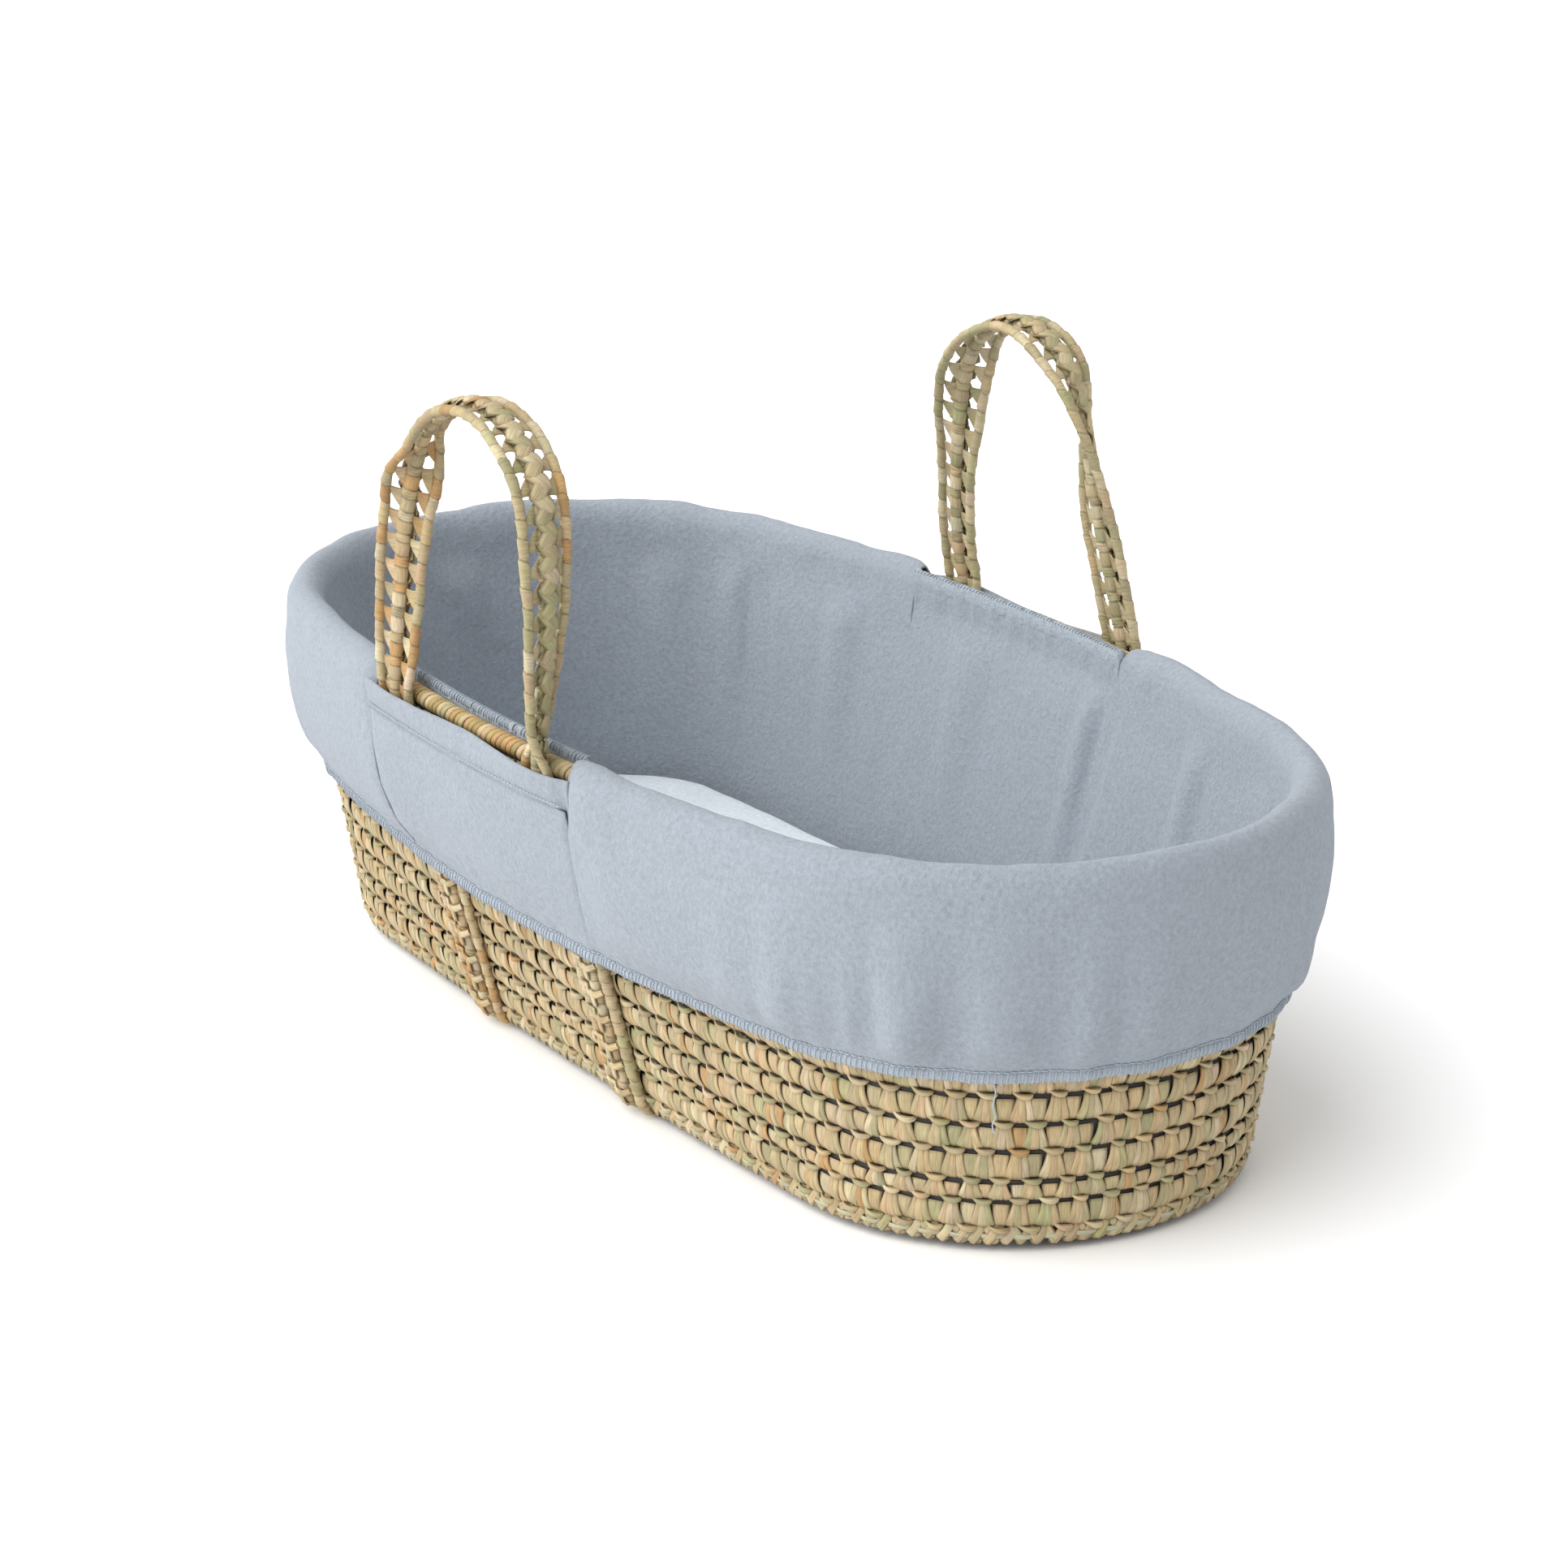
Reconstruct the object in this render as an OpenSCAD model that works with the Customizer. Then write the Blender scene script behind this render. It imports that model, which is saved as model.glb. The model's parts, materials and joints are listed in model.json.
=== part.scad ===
// Palm-leaf moses basket with a padded fleece liner, two woven handles and an oval mattress.
// Origin: middle of the footprint on the surface it stands on. +X is the long axis, +Z is up,
// -Y is the front. Every ring is an oval of four arcs, written [half length, half width, end radius].

/* [Basket] */
// Length of the woven base
base_len = 762; // [740:1:780]
// Width of the woven base
base_wid = 288; // [280:1:296]
// Radius of the base's two ends
base_end_r = 138; // [130:1:139]
// Length of the woven wall at its top
rim_len = 822; // [800:1:840]
// Width of the woven wall at its top
rim_wid = 402; // [392:1:412]
// Radius of the rim's two ends
rim_end_r = 175; // [168:1:178]
// Mean height of the wall's coiled courses
course_h = 17.6; // [17:0.1:18.4]
// Thickness of the wall
wall_t = 10; // [9:0.5:11]
// Thickness of the flat coiled base
base_t = 7; // [6:0.5:8]
// Radius of the leaf-wrapped coil on the rim
rim_coil_r = 5.5; // [5:0.1:6]

/* [Straps and handles] */
// Middle of both handles along the basket
handle_x = -8; // [-11:1:0]
// Half the distance between a handle's legs at the rim
leg_half = 85; // [80:1:86]
// Width of the braided band
band_w = 36; // [32:1:37]
// Thickness of the braided band
band_t = 5; // [4:0.5:5]
// Height of the hinge line, where the handles bend over the rim, above the rim coil's middle
hinge_rise = 6.8; // [6:0.1:8]
// Height of the handles' tops above the hinge line
handle_h = 183; // [160:1:200]
// Height of the legs' straight part above the hinge line
leg_h = 102; // [90:1:115]
// Half width of the front handle where its arch starts
front_arch_w = 82; // [70:1:90]
// Half width of the back handle where its arch starts
back_arch_w = 68; // [60:1:90]
// Lean of the front handle towards the middle, degrees
front_lean = 4; // [0:1:8]
// Lean of the back handle towards the middle, degrees
back_lean = 6; // [0:1:8]

/* [Liner] */
// Thickness of the fleece on the inside wall
liner_t = 2.5; // [2:0.1:3]
// Height of the padded roll's crest above the rim coil's middle
crest_rise = 11.3; // [10:0.1:13]
// Height of the skirt's elastic hem
hem_z = 107; // [100:1:115]
// Width of the sewn bands along the hem
hem_w = 6; // [5:1:8]
// Left edge of the handle slots in the liner
slot_x0 = -120; // [-128:1:-119]
// Right edge of the handle slots in the liner
slot_x1 = 104; // [104:1:112]
// Width of the folded binding on the slot flaps
binding_w = 15; // [12:1:18]

/* [Mattress] */
// Thickness of the mattress
mattress_t = 40; // [30:1:45]
// Thickness of its cover
cover_t = 1.5; // [1:0.5:2]

/* [Hidden] */
$fn = 96;

wall_courses = 12;                          // coiled courses in the wall, each in a node of its own
base_courses = 7;                           // coiled courses in the base, each in a node of its own
// Height of each wall course, from the base up, as a part of course_h. They add up to wall_courses.
course_share = [0.57, 0.99, 0.71, 1.04, 0.94, 1, 1.1, 1.13, 1.13, 1.13, 1.13, 1.13];

strap_under = 4.5;                          // thickness of a strap under the base, with its clearance
wall_z0 = strap_under;
wall_z1 = wall_z0 + wall_courses * course_h;
coil_z = wall_z1 + rim_coil_r;
course_bulge = 2;                           // how far a course bulges between its seams
course_slope = 0.2;                         // tilt of a course, outward per unit of height
base_gap = 0.3;                             // clearance between the base and the first course
base_pitch = (base_end_r - wall_t - 2) / base_courses;
strap_gap = 1.2;                            // clearance between the wall and a strap
strap_low = 12;                             // height at which a strap meets the wall's slope
tie_t = 0.9;                                // thickness of a leaf tie over a strap
tie_w = 4;                                  // width of a leaf tie
hinge_z = coil_z + hinge_rise;
hinge_gap_below = 4.6;                      // strap's end to hinge line
hinge_gap_above = 3;                        // hinge line to the handle's legs
hinge_y = rim_wid / 2 + 2.5;
slot_seam = 0.3;                            // gap between the flaps and the skirt's ends
floor_z = wall_z0 + base_t + 0.2;
floor_t = 1.5;
liner_gap = 0.8;                            // liner wall to woven wall
liner_levels = 4;                           // rings of points up the liner's inside wall
crest_z = coil_z + crest_rise;
roll_z0 = wall_z1 - 10.7;                   // lower edge of the padded roll
roll_mid_z = wall_z1 - 1.7;                 // height at which the roll is widest
roll_out = [-10.4, 16];                     // outer skin of the roll, from the coil's oval
roll_in = [-7.9, 8];                        // inner skin of the roll, from the coil's oval
flap_z1 = roll_z0 - 1;
mattress_gap = 1.7;                         // mattress to liner wall
mattress_z0 = floor_z + floor_t + 0.4;
skirt_t = 3;                                // thickness of the skirt's two layers and wadding
hem_top = hem_z + hem_w;
hem_t = 2.6;                                // thickness of the gathered hem
elastic_bead_r = 2.2;                       // radius of the elastic cord in a slot's inner edge
sweep_reach = 1000;                         // longer than the basket
sweep_top = 400;                            // higher than any swept ring
side_fragments = 20;                        // facets of a swept side arc
slot_fragments = 10;                        // facets of a piece along a slot
side_steps = 6;                             // stations along a side of a lofted oval
end_steps = 26;                             // stations round an end of a lofted oval

palm = "burlywood";
olive = "darkkhaki";
fleece = "lightsteelblue";
thread = "lightslategray";

// ---- ovals ----

function grown(o, by) = [o[0] + by, o[1] + by, o[2] + by];
function mixed(a, b, t) = a * (1 - t) + b * t;

base_oval = [base_len / 2, base_wid / 2, base_end_r];
rim_oval = [rim_len / 2, rim_wid / 2, rim_end_r];

// Outside of the woven wall at height z.
function weave(z) = mixed(base_oval, rim_oval, (z - wall_z0) / (wall_z1 - wall_z0));

coil_oval = grown(rim_oval, -wall_t / 2);
// The hem stands further off the wall along the sides, where it passes over the straps.
hem_oval = weave(hem_z) + [8, 14, 6];

// Distance of the end arcs' centres from the middle, and the side arcs' radius, centre and end angle.
function end_c(o) = o[0] - o[2];
function side_r(o) = (end_c(o) ^ 2 + o[1] ^ 2 - o[2] ^ 2) / (2 * (o[1] - o[2]));
function side_d(o) = side_r(o) - o[1];
function joint_a(o) = atan2(side_d(o), end_c(o));
function side_y(o, x) = sqrt(side_r(o) ^ 2 - x ^ 2) - side_d(o);

// Points of the oval's right half, from x = cut on the front round the end to x = cut on the back.
function half_path(o, cut) =
    let (c = end_c(o), r = o[2], R = side_r(o), d = side_d(o), a = joint_a(o), ac = acos(cut / R))
    concat(
        [for (i = [0 : side_steps - 1]) let (t = ac + (a - ac) * i / side_steps)
            [R * cos(t), d - R * sin(t)]],
        [for (i = [0 : end_steps]) let (t = -a + 2 * a * i / end_steps)
            [c + r * cos(t), r * sin(t)]],
        [for (i = [side_steps - 1 : -1 : 0]) let (t = ac + (a - ac) * i / side_steps)
            [R * cos(t), R * sin(t) - d]]);

function full_path(o) =
    let (h = half_path(o, 0), n = len(h) - 1)
    concat([for (i = [0 : n - 1]) h[i]], [for (i = [0 : n - 1]) -h[i]]);

// Wedges of the plane that meet along the lines where an oval's end and side arcs join.
module end_wedge(o) {
    c = end_c(o);
    far = sweep_reach * [cos(joint_a(o)), sin(joint_a(o))];
    polygon([[c, 0], [c + far[0], far[1]], [c + sweep_reach, far[1]], [c + sweep_reach, -far[1]],
        [c + far[0], -far[1]]]);
}
module side_wedge(o, cut) {
    c = end_c(o);
    far = sweep_reach * [cos(joint_a(o)), sin(joint_a(o))];
    polygon([[cut, 0], [c, 0], [c + far[0], far[1]], [cut, far[1]]]);
}

// Sweeps a section round the right end, from x = cut on the front to x = cut on the back.
// The section's x = 0 lies on the oval, +x is outward.
module sweep_end(o, cut) {
    spare = 1;                              // degrees swept past each wedge, which then cuts it
    start = joint_a(o) - spare;
    span = acos(cut / side_r(o)) + spare - start;
    intersection() {
        translate([end_c(o), 0, 0]) rotate_extrude() translate([o[2], 0]) children();
        linear_extrude(sweep_top) end_wedge(o);
    }
    for (side = [0, 1]) mirror([0, side, 0]) intersection() {
        translate([0, -side_d(o), 0])
            rotate_extrude(angle = span, start = start, $fn = side_fragments * 360 / span)
            translate([side_r(o), 0]) children();
        linear_extrude(sweep_top) side_wedge(o, cut);
    }
}

// Sweeps a section round the whole oval.
module sweep_oval(o) {
    for (turn = [0, 180]) rotate(turn) sweep_end(o, 0) children();
}

// Sweeps a section along the back side. Its ends are radial and stay between x0 and x1 as far out
// as the padded roll's outside.
module sweep_side(o, x0, x1) {
    widest = side_r(o) + roll_out[1] + 2;
    start = acos(x1 / widest);
    span = acos(x0 / widest) - start;
    translate([0, -side_d(o), 0])
        rotate_extrude(angle = span, start = start, $fn = slot_fragments * 360 / span)
        translate([side_r(o), 0]) children();
}

// Mesh over stations, each a closed section of the same number of points.
module skin(rings, closed) {
    n = len(rings);
    m = len(rings[0]);
    last = closed ? n - 1 : n - 2;
    sides = [for (i = [0 : last], j = [0 : m - 1])
        let (p = i * m, q = ((i + 1) % n) * m, k = (j + 1) % m)
        each [[p + j, q + j, q + k], [p + j, q + k, p + k]]];
    caps = closed ? [] : [[for (j = [0 : m - 1]) j], [for (j = [m - 1 : -1 : 0]) (n - 1) * m + j]];
    polyhedron([for (r = rings) each r], concat(sides, caps));
}

// Rings of a shell whose section's corners each run round an oval of their own: [oval, z].
function end_rings(section, cut) =
    let (paths = [for (s = section) half_path(s[0], cut)])
    [for (i = [0 : len(paths[0]) - 1]) [for (j = [0 : len(section) - 1])
        [paths[j][i][0], paths[j][i][1], section[j][1]]]];
function full_rings(section) =
    let (paths = [for (s = section) full_path(s[0])])
    [for (i = [0 : len(paths[0]) - 1]) [for (j = [0 : len(section) - 1])
        [paths[j][i][0], paths[j][i][1], section[j][1]]]];

module oval_plate(o, t) {
    linear_extrude(t) polygon(full_path(o));
}

// ---- woven basket ----

// Height of the seam above course i of the wall.
function seam_z(i) = i == 0 ? wall_z0 : seam_z(i - 1) + course_share[i - 1] * course_h;

// One coiled course of the wall, counted from the base.
module wall_course(i) {
    z = seam_z(i - 1);
    height = seam_z(i) - z;
    lean = course_slope * height / 2;
    steps = 6;
    outer = [for (k = [0 : steps])
        [lean * (2 * k / steps - 1) + course_bulge * (sin(180 * k / steps) - 1), height * k / steps]];
    inner = [[lean - wall_t, height], [-lean - wall_t, 0]];
    color(i % 3 == 0 ? olive : palm) translate([0, 0, z])
        sweep_oval(weave(z + height / 2)) polygon(concat(outer, inner));
}

module rim_coil() {
    sides = 8;
    color(palm) skin(full_rings([for (k = [0 : sides - 1]) let (t = 360 * k / sides)
        [grown(coil_oval, rim_coil_r * cos(t)), coil_z + rim_coil_r * sin(t)]]), true);
}

// One coiled course of the base, counted from the outside.
module base_course(i) {
    o = grown(base_oval, -wall_t - base_gap - (i - 1) * base_pitch);
    edge = 1.5;
    color(i % 3 == 0 ? olive : palm) translate([0, 0, wall_z0]) sweep_oval(o)
        polygon([[-edge, 0], [0, edge], [0, base_t - edge], [-edge, base_t],
            [edge - base_pitch, base_t], [-base_pitch, base_t - edge], [-base_pitch, edge],
            [edge - base_pitch, 0]]);
}

module base_core() {
    o = grown(base_oval, -wall_t - 2 * base_gap - base_courses * base_pitch);
    color(olive) translate([0, 0, wall_z0]) oval_plate(o, base_t);
}

// ---- straps: up the front wall, under the base and up the back wall ----

function strap_mid(side) = handle_x + side * leg_half;

// Distance of the strap's inner face from the middle plane at height z. It stands off the woven wall
// where it passes its edge nearer the middle, and is straight from strap_low to the wall's top.
function strap_off(side, z) = side_y(weave(z), abs(strap_mid(side)) - band_w / 2) + strap_gap;
function strap_face(side, z) =
    mixed(strap_off(side, strap_low), strap_off(side, wall_z1), (z - strap_low) / (wall_z1 - strap_low));

module strap(side) {
    top = hinge_z - hinge_gap_below;
    edge_y = base_wid / 2;
    low_y = strap_off(side, strap_low);
    top_y = strap_off(side, wall_z1);
    lift = strap_under - 0.2;
    inner = [[edge_y - 0.4, lift], [edge_y + 1, lift + 3], [low_y, strap_low], [top_y, wall_z1],
        [top_y, top]];
    outer = [[edge_y - 4, 0], [edge_y + 3, 1.5], [low_y + band_t - 1, strap_low / 2],
        [low_y + band_t, strap_low], [top_y + band_t, wall_z1], [top_y + band_t, top]];
    section = concat(outer, [for (i = [len(inner) - 1 : -1 : 0]) inner[i]],
        [for (p = inner) [-p[0], p[1]]], [for (i = [len(outer) - 1 : -1 : 0]) [-outer[i][0], outer[i][1]]]);
    color(side < 0 ? palm : olive) translate([strap_mid(side) - band_w / 2, 0, 0])
        rotate([90, 0, 90]) linear_extrude(band_w) polygon(section);
}

// Leaf ties that hold a strap to the wall at the seams between the courses.
module strap_ties(side) {
    tilt = atan2(strap_off(side, wall_z1) - strap_off(side, strap_low), wall_z1 - strap_low);
    color(olive) for (front = [0, 1], i = [1 : wall_courses - 1]) mirror([0, front, 0]) {
        z = seam_z(i);
        translate([strap_mid(side), strap_face(side, z) + band_t, z]) rotate([-tilt, 0, 0])
            translate([-band_w / 3, 0, -tie_w / 2]) cube([2 * band_w / 3, tie_t, tie_w]);
    }
}

// ---- fleece liner ----

module liner_wall() {
    z0 = floor_z + floor_t + 0.1;
    z1 = roll_z0 - 0.2;
    outer = [for (k = [0 : liner_levels]) let (z = z0 + (z1 - z0) * k / liner_levels)
        [grown(weave(z), -wall_t - liner_gap), z]];
    inner = [for (k = [liner_levels : -1 : 0]) [grown(outer[k][0], -liner_t), outer[k][1]]];
    color(fleece) skin(full_rings(concat(outer, inner)), true);
}

module liner_floor() {
    color(fleece) translate([0, 0, floor_z]) oval_plate(grown(weave(floor_z), -wall_t - liner_gap), floor_t);
}

// Padded roll over the rim, one piece for each end.
module liner_roll(cut) {
    steps = 10;
    arch = function (x, h) [for (k = [0 : steps]) let (t = 180 - 180 * k / steps)
        [(x[0] + x[1]) / 2 + (x[1] - x[0]) / 2 * cos(t), roll_mid_z + h * sin(t)]];
    over_coil = 1.5;                        // clearance between the rim's coil and the roll
    outer = arch(roll_out, crest_z - roll_mid_z);
    inner = arch(roll_in, coil_z + rim_coil_r + over_coil - roll_mid_z);
    section = concat([[roll_out[0], roll_z0]], outer, [[roll_out[1], roll_z0], [roll_in[1], roll_z0]],
        [for (k = [steps : -1 : 0]) inner[k]], [[roll_in[0], roll_z0]]);
    color(fleece) sweep_end(coil_oval, cut) polygon(section);
}

// Outer skirt over one end, from the roll down to the hem.
module skirt(cut) {
    hem_edge = grown(hem_oval, -0.2);
    top = roll_z0 - 0.2;
    drop = top - hem_top - 0.2;
    // How far down, how far out past the rim's coil, and how much of that the hem takes in.
    profile = [[0, 16, 0], [0.22, 20, 0], [0.5, 20, 0.12], [0.77, 16, 0.45], [0.93, 10, 0.8], [1, 0, 1]];
    outer = [for (p = profile) [mixed(grown(coil_oval, p[1]), hem_edge, p[2]), top - drop * p[0]]];
    inner = [for (i = [len(outer) - 1 : -1 : 0]) [grown(outer[i][0], -skirt_t), outer[i][1]]];
    color(fleece) skin(end_rings(concat(inner, outer), cut), false);
}

// Flap of the skirt below a handle slot. It hangs outside the straps.
module flap() {
    low = hem_top + 0.2;
    // How far up, and how far out past the rim's coil.
    profile = [[0, -9.4], [0.24, -1.2], [0.52, 6], [0.79, 11], [1, 14.5]];
    outer = [for (p = profile) [p[1], mixed(low, flap_z1, p[0])]];
    inner = [for (i = [len(outer) - 1 : -1 : 0]) [outer[i][0] - liner_t, outer[i][1]]];
    color(fleece) sweep_side(coil_oval, slot_x0 + slot_seam, slot_x1 - slot_seam)
        polygon(concat(outer, inner));
}

// Folded binding on the flap's top edge. It leans out with the wall and stands clear of the straps.
module flap_binding() {
    t = 3;
    low = 12;
    high = 14.7;
    z0 = flap_z1 + 0.1;
    z1 = flap_z1 + binding_w;
    color(fleece) sweep_side(coil_oval, slot_x0 + slot_seam, slot_x1 - slot_seam)
        polygon([[low, z0], [low + t, z0], [high + t, wall_z1], [high + t, z1], [high, z1],
            [high, wall_z1]]);
}

// Gathered elastic edge of the inside wall behind the rim's coil.
module slot_elastic() {
    top = coil_z + 3;
    color(thread) sweep_side(coil_oval, slot_x0 + slot_seam, slot_x1 - slot_seam) union() {
        translate([roll_out[0], roll_z0]) square([liner_t, top - roll_z0]);
        translate([roll_out[0] + liner_t / 2, top]) circle(r = elastic_bead_r);
    }
}

module hem_elastic() {
    color(thread) translate([0, 0, hem_z]) sweep_oval(hem_oval)
        translate([-hem_t, 0]) square([hem_t, hem_w]);
}

// ---- handles ----

// Middle line of a handle: straight legs and an arch, as [x, z above the hinge line].
leg_rings = 13;                             // stations along a leg
arch_rings = 28;                            // stations along the arch
function handle_line(arch_w) = concat(
    [for (i = [0 : leg_rings - 1]) let (t = i / leg_rings)
        [-(leg_half + (arch_w - leg_half) * t), hinge_gap_above + (leg_h - hinge_gap_above) * t]],
    [for (i = [0 : arch_rings]) let (t = 180 - 180 * i / arch_rings)
        [arch_w * cos(t), leg_h + (handle_h - leg_h) * sin(t)]],
    [for (i = [leg_rings - 1 : -1 : 0]) let (t = i / leg_rings)
        [leg_half + (arch_w - leg_half) * t, hinge_gap_above + (leg_h - hinge_gap_above) * t]]);

// Turn of the band about the line: flat on the wall at the rim, across the arch at the top.
function band_turn(z) = let (t = min(1, z / (0.8 * handle_h))) 90 * (3 - 2 * t) * t * t;

// Frames along a handle: [middle, direction of the width, direction of the thickness].
// The band turns from flat on the wall at the rim to across the arch at the top.
function handle_frames(arch_w, lean, twist) =
    let (line = handle_line(arch_w), n = len(line))
    [for (i = [0 : n - 1])
        let (p = line[i], q0 = line[max(0, i - 1)], q1 = line[min(n - 1, i + 1)],
            run = (q1 - q0) / norm(q1 - q0), turn = twist * band_turn(p[1]),
            wide = [run[1], 0, -run[0]] * cos(turn) + [0, 1, 0] * sin(turn),
            thick = cross([run[0], 0, run[1]], wide))
        [[handle_x + p[0], -hinge_y + p[1] * tan(lean), hinge_z + p[1]], wide, thick]];

// Rod of the band, a tube at a distance off the middle line.
module band_rod(frames, off, half_w, half_t) {
    sides = 8;
    skin([for (f = frames) [for (k = [0 : sides - 1]) let (t = 360 * k / sides)
        f[0] + f[1] * (off + half_w * cos(t)) + f[2] * half_t * sin(t)]], false);
}

// Leaf webs between the rods, one pair at every other frame.
module band_webs(frames, from, to, half_t) {
    for (i = [1 : 2 : len(frames) - 3], side = [-1, 1])
        skin([for (f = [frames[i], frames[i + 1]]) [for (c = [[from, -1], [to, -1], [to, 1], [from, 1]])
            f[0] + f[1] * side * c[0] + f[2] * side * c[1] * half_t]], false);
}

rod_half_w = 2.6;                           // half width of a band's edge rod
braid_half_w = 5.5;                         // half width of a band's middle braid
rod_off = band_w / 2 - rod_half_w;

front_frames = handle_frames(front_arch_w, front_lean, 1);
// The back handle is worked out at the front and mirrored.
back_frames = handle_frames(back_arch_w, back_lean, -1);

module handle_rod(frames, side) {
    color(side < 0 ? palm : olive) band_rod(frames, side * rod_off, rod_half_w, band_t / 2);
}
module handle_braid(frames) {
    color(olive) band_rod(frames, 0, braid_half_w, band_t / 2 + 0.5);
}
module handle_webs(frames) {
    color(palm) band_webs(frames, braid_half_w - 0.6, rod_off - rod_half_w + 0.5, 0.7);
}

// ---- mattress ----

mattress_oval = grown(weave(mattress_z0), -wall_t - liner_gap - liner_t - mattress_gap);
mattress_split = mattress_t / 2;

module mattress_foam() {
    color("ivory") translate([0, 0, mattress_z0 + cover_t + 0.1])
        oval_plate(grown(mattress_oval, -cover_t - 0.1), mattress_t - 2 * cover_t - 0.2);
}

// Half of the fitted cover, a shallow tray open towards the seam.
module cover_half() {
    difference() {
        oval_plate(mattress_oval, mattress_split - 0.05);
        translate([0, 0, cover_t]) oval_plate(grown(mattress_oval, -cover_t), mattress_split);
    }
}
module mattress_cover_base() {
    color("white") translate([0, 0, mattress_z0]) cover_half();
}
module mattress_cover_top() {
    color("white") translate([0, 0, mattress_z0 + mattress_t]) mirror([0, 0, 1]) cover_half();
}

wall_course(1);  // wall_course_01
wall_course(2);  // wall_course_02
wall_course(3);  // wall_course_03
wall_course(4);  // wall_course_04
wall_course(5);  // wall_course_05
wall_course(6);  // wall_course_06
wall_course(7);  // wall_course_07
wall_course(8);  // wall_course_08
wall_course(9);  // wall_course_09
wall_course(10);  // wall_course_10
wall_course(11);  // wall_course_11
wall_course(12);  // wall_course_12
rim_coil();
base_course(1);  // base_course_1
base_course(2);  // base_course_2
base_course(3);  // base_course_3
base_course(4);  // base_course_4
base_course(5);  // base_course_5
base_course(6);  // base_course_6
base_course(7);  // base_course_7
base_core();
strap(-1);  // strap_left
strap(1);  // strap_right
strap_ties(-1);  // strap_ties_left
strap_ties(1);  // strap_ties_right
liner_wall();
liner_floor();
mirror([1, 0, 0]) liner_roll(-slot_x0);  // liner_roll_left
liner_roll(slot_x1);  // liner_roll_right
mirror([1, 0, 0]) skirt(-slot_x0);  // skirt_left
skirt(slot_x1);  // skirt_right
mirror([0, 1, 0]) flap();  // front_flap
flap();  // back_flap
mirror([0, 1, 0]) flap_binding();  // front_flap_binding
flap_binding();  // back_flap_binding
mirror([0, 1, 0]) slot_elastic();  // front_slot_elastic
slot_elastic();  // back_slot_elastic
hem_elastic();
handle_rod(front_frames, -1);  // front_handle_rod_a
handle_rod(front_frames, 1);  // front_handle_rod_b
handle_braid(front_frames);  // front_handle_braid
handle_webs(front_frames);  // front_handle_webs
mirror([0, 1, 0]) handle_rod(back_frames, -1);  // back_handle_rod_a
mirror([0, 1, 0]) handle_rod(back_frames, 1);  // back_handle_rod_b
mirror([0, 1, 0]) handle_braid(back_frames);  // back_handle_braid
mirror([0, 1, 0]) handle_webs(back_frames);  // back_handle_webs
mattress_foam();
mattress_cover_top();
mattress_cover_base();
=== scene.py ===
"""Palm-leaf moses basket: woven wall and base, braided straps and handles, fleece liner, mattress.

Lengths are in millimetres until a mesh is made. A ring is an oval of four arcs, written
(half length, half width, end radius), and u is the part of the way round it from the front's middle,
towards +X first.
"""

import json
import math

import bpy
import numpy as np
from mathutils import Matrix, Vector


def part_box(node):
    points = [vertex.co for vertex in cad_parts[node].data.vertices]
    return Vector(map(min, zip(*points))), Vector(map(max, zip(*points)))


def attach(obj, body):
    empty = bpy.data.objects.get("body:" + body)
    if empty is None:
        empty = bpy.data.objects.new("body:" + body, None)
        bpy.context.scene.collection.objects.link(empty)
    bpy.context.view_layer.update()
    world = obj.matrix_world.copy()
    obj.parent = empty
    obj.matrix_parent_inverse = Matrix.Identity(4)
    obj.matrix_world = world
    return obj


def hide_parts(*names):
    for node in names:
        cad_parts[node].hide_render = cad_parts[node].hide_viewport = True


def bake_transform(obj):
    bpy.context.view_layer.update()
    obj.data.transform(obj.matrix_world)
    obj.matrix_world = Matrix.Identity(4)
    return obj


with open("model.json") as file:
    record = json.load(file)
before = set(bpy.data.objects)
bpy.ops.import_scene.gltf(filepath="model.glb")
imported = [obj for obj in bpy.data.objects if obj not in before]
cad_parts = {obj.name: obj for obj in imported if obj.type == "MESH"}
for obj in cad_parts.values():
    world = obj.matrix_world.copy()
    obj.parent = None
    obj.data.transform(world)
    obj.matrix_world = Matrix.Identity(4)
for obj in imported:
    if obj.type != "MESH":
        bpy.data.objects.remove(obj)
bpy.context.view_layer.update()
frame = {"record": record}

MM = 0.001
TURN = 2 * math.pi
LOOP_Y = 61


# ---- numbers ----

def box(node):
    """Lowest and highest corner of a CAD node, in millimetres."""
    return [np.array(corner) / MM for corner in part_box(node)]


def smooth(start, end, x):
    t = np.clip((x - start) / (end - start), 0, 1)
    return t * t * (3 - 2 * t)


def hump(x, middle, half):
    """1 at the middle, falling smoothly to 0 at half to either side."""
    t = np.clip(np.abs(x - middle) / half, 0, 1)
    return (1 - t * t) ** 2


def unit(v):
    return v / np.maximum(np.linalg.norm(v, axis=-1, keepdims=True), 1e-9)


def raised(plan, z):
    """Points at height z over points in plan, or directions with a part z upwards."""
    return np.concatenate([plan, np.broadcast_to(z, plan.shape[:-1])[..., None]], -1)


def distance(line):
    """How far along a line each of its points is."""
    return np.concatenate([[0], np.cumsum(np.linalg.norm(np.diff(line, axis=0), axis=1))])


def sample(rows, s, at):
    """What the rows, which stand at the distances s, come to at other distances."""
    return np.stack([np.interp(at, s, column) for column in rows.T], -1)


def turns(sides):
    """Angles round a tube, in the order that makes its faces look outwards."""
    return -np.arange(sides) / sides * TURN


def column(count):
    """count even places round the basket, as a column."""
    return np.linspace(0, 1, count, endpoint=False)[:, None]


def spaced(rng, count, spread, shift=0.0):
    """count places round the basket, each a little off its even place."""
    return (np.arange(count) + shift + rng.normal(0, spread, count)) / count


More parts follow.
